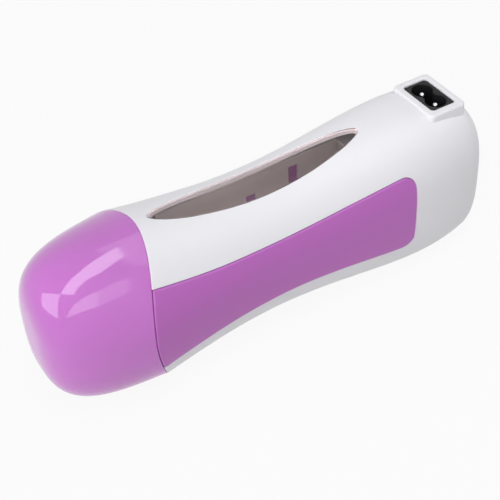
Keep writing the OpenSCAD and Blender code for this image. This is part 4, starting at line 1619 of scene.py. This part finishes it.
@dataclass
class WaxHeater:
    """The whole heater: dressed pieces in place of the plain ones, and finishes on the rest."""

    placing: Placing
    outline: Outline

    def dress(self, piece: bpy.types.Object, finish: Finish, body: str, node: str) -> None:
        """Puts a new piece in its place.

        Args:
            piece: The piece.
            finish: Its finish.
            body: The body that it rides on.
            node: The node that it stands for.
        """
        piece.data.materials.clear()
        piece.data.materials.append(finish.material())
        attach(piece, body)
        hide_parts(node)
        log.info("%s: %d faces, rides on %s", piece.name, len(piece.data.polygons), body)

    def finish_node(self, node: str, finish: Finish) -> None:
        """Gives a node that stays its material.

        Args:
            node: Name of the node.
            finish: Its finish.
        """
        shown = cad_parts[node]
        shown.data.materials.clear()
        shown.data.materials.append(finish.material())
        log.info("%s: finished in place", node)

    def build(self) -> None:
        """Builds the sub-assemblies in order."""
        grip = GripShape(self.outline)
        window = WindowShape(self.outline)
        inlet = InletShape()
        cap = CapShape(self.outline)
        housing = Housing(self.outline, grip, window, inlet, ScrewShape(), self.placing)
        white = MouldedPlastic("white_shell", (0.80, 0.795, 0.815), 0.38, clouding=0.012)
        purple = MouldedPlastic("purple_grip", (0.47, 0.125, 0.475), 0.34)
        light_purple = MouldedPlastic("purple_cap", (0.50, 0.14, 0.515), 0.07, coat=0.3, clouding=0.02)
        collar = MouldedPlastic("white_collar", (0.80, 0.80, 0.82), 0.3)
        black = SoftMatter("inlet_black", (0.01, 0.01, 0.011), 0.5, 1500.0, speckle=0.2, relief=0.1, ior=1.3)
        self.dress(housing.front(), white, "housing", "front_shell")
        self.dress(housing.rear(), white, "housing", "rear_shell")
        for name, mirrored in (("grip_panel_near", False), ("grip_panel_far", True)):
            panel = grip.panel(f"{name}_dressed", mirrored, self.placing)
            self.dress(panel, purple, "housing", name)
        self.dress(cap.cap(self.placing), light_purple, "cap", "cap")
        self.dress(cap.neck(self.placing), collar, "housing", "neck_collar")
        self.dress(window.lens(self.placing), SmokedLens(), "housing", "window_lens")
        self.dress(inlet.insert(self.placing), black, "housing", "inlet_body")
        self.finish_rest()

    def finish_rest(self) -> None:
        """Finishes the pieces inside and the small metal parts."""
        steel = WorkedMetal("screw_steel", (0.60, 0.60, 0.62), 0.3, Lay.TURNED)
        chamber_colour = (0.92, 0.88, 0.865)
        chamber = WorkedMetal("chamber_metal", chamber_colour, 0.5, Lay.DRAWN_ALONG, marks=0.25, metallic=0.6)
        sleeve = SoftMatter("sleeve_glass_fibre", (0.86, 0.83, 0.76), 0.8, 1500.0, ribs=260.0, relief=0.5)
        finishes = {
            "heating_chamber": chamber,
            "collar_screws": steel,
            "clip_screws": steel,
            "shell_screws": steel,
            "cartridge_stop": SoftMatter("grey_silicone", (0.62, 0.60, 0.57), 0.7, 700.0),
            "chamber_pads": SoftMatter("pad_silicone", (0.62, 0.60, 0.57), 0.7, 700.0),
            "ptc_stones": SoftMatter("ceramic_stone", (0.20, 0.20, 0.22), 0.75, 1800.0, speckle=0.35),
            "ptc_electrodes": WorkedMetal("electrode_metal", (0.75, 0.76, 0.78), 0.28, Lay.ROLLED_ACROSS),
            "ptc_film": SoftMatter("amber_film", (0.60, 0.27, 0.04), 0.25, 300.0, speckle=0.12, coat=0.5),
            "heater_clip": WorkedMetal("clip_steel", (0.52, 0.53, 0.55), 0.32, Lay.DRAWN_ALONG),
            "thermal_fuse": SoftMatter("fuse_ceramic", (0.78, 0.74, 0.66), 0.35, 900.0, speckle=0.08),
            "fuse_sleeve": sleeve,
            "inlet_pins": WorkedMetal("pin_nickel", (0.60, 0.60, 0.62), 0.2, Lay.TURNED, marks=0.05),
            "crimp_terminals": WorkedMetal("terminal_brass", (0.62, 0.47, 0.20), 0.3, Lay.TURNED),
            "live_lead": SoftMatter("lead_brown", (0.20, 0.09, 0.04), 0.5, 600.0),
            "neutral_lead": SoftMatter("lead_blue", (0.05, 0.15, 0.42), 0.5, 600.0),
        }
        for node, finish in finishes.items():
            self.finish_node(node, finish)


def corners(box: tuple) -> list[list[float]]:
    """A box's two corners as plain lists of numbers."""
    return [[float(v) for v in corner] for corner in box]


def main() -> None:
    """Builds the heater and its studio."""
    logging.basicConfig(level=logging.INFO, format="%(message)s")
    outline = Outline()
    butt_x = float(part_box("front_shell")[1][0])
    low_z, parting_z = (float(corner[2]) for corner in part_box("rear_shell"))
    placing = Placing(butt_x - outline.length * MILLI, parting_z, (low_z - parting_z) / MILLI)
    WaxHeater(placing, outline).build()
    Studio().build()


if __name__ == "__main__":
    main()
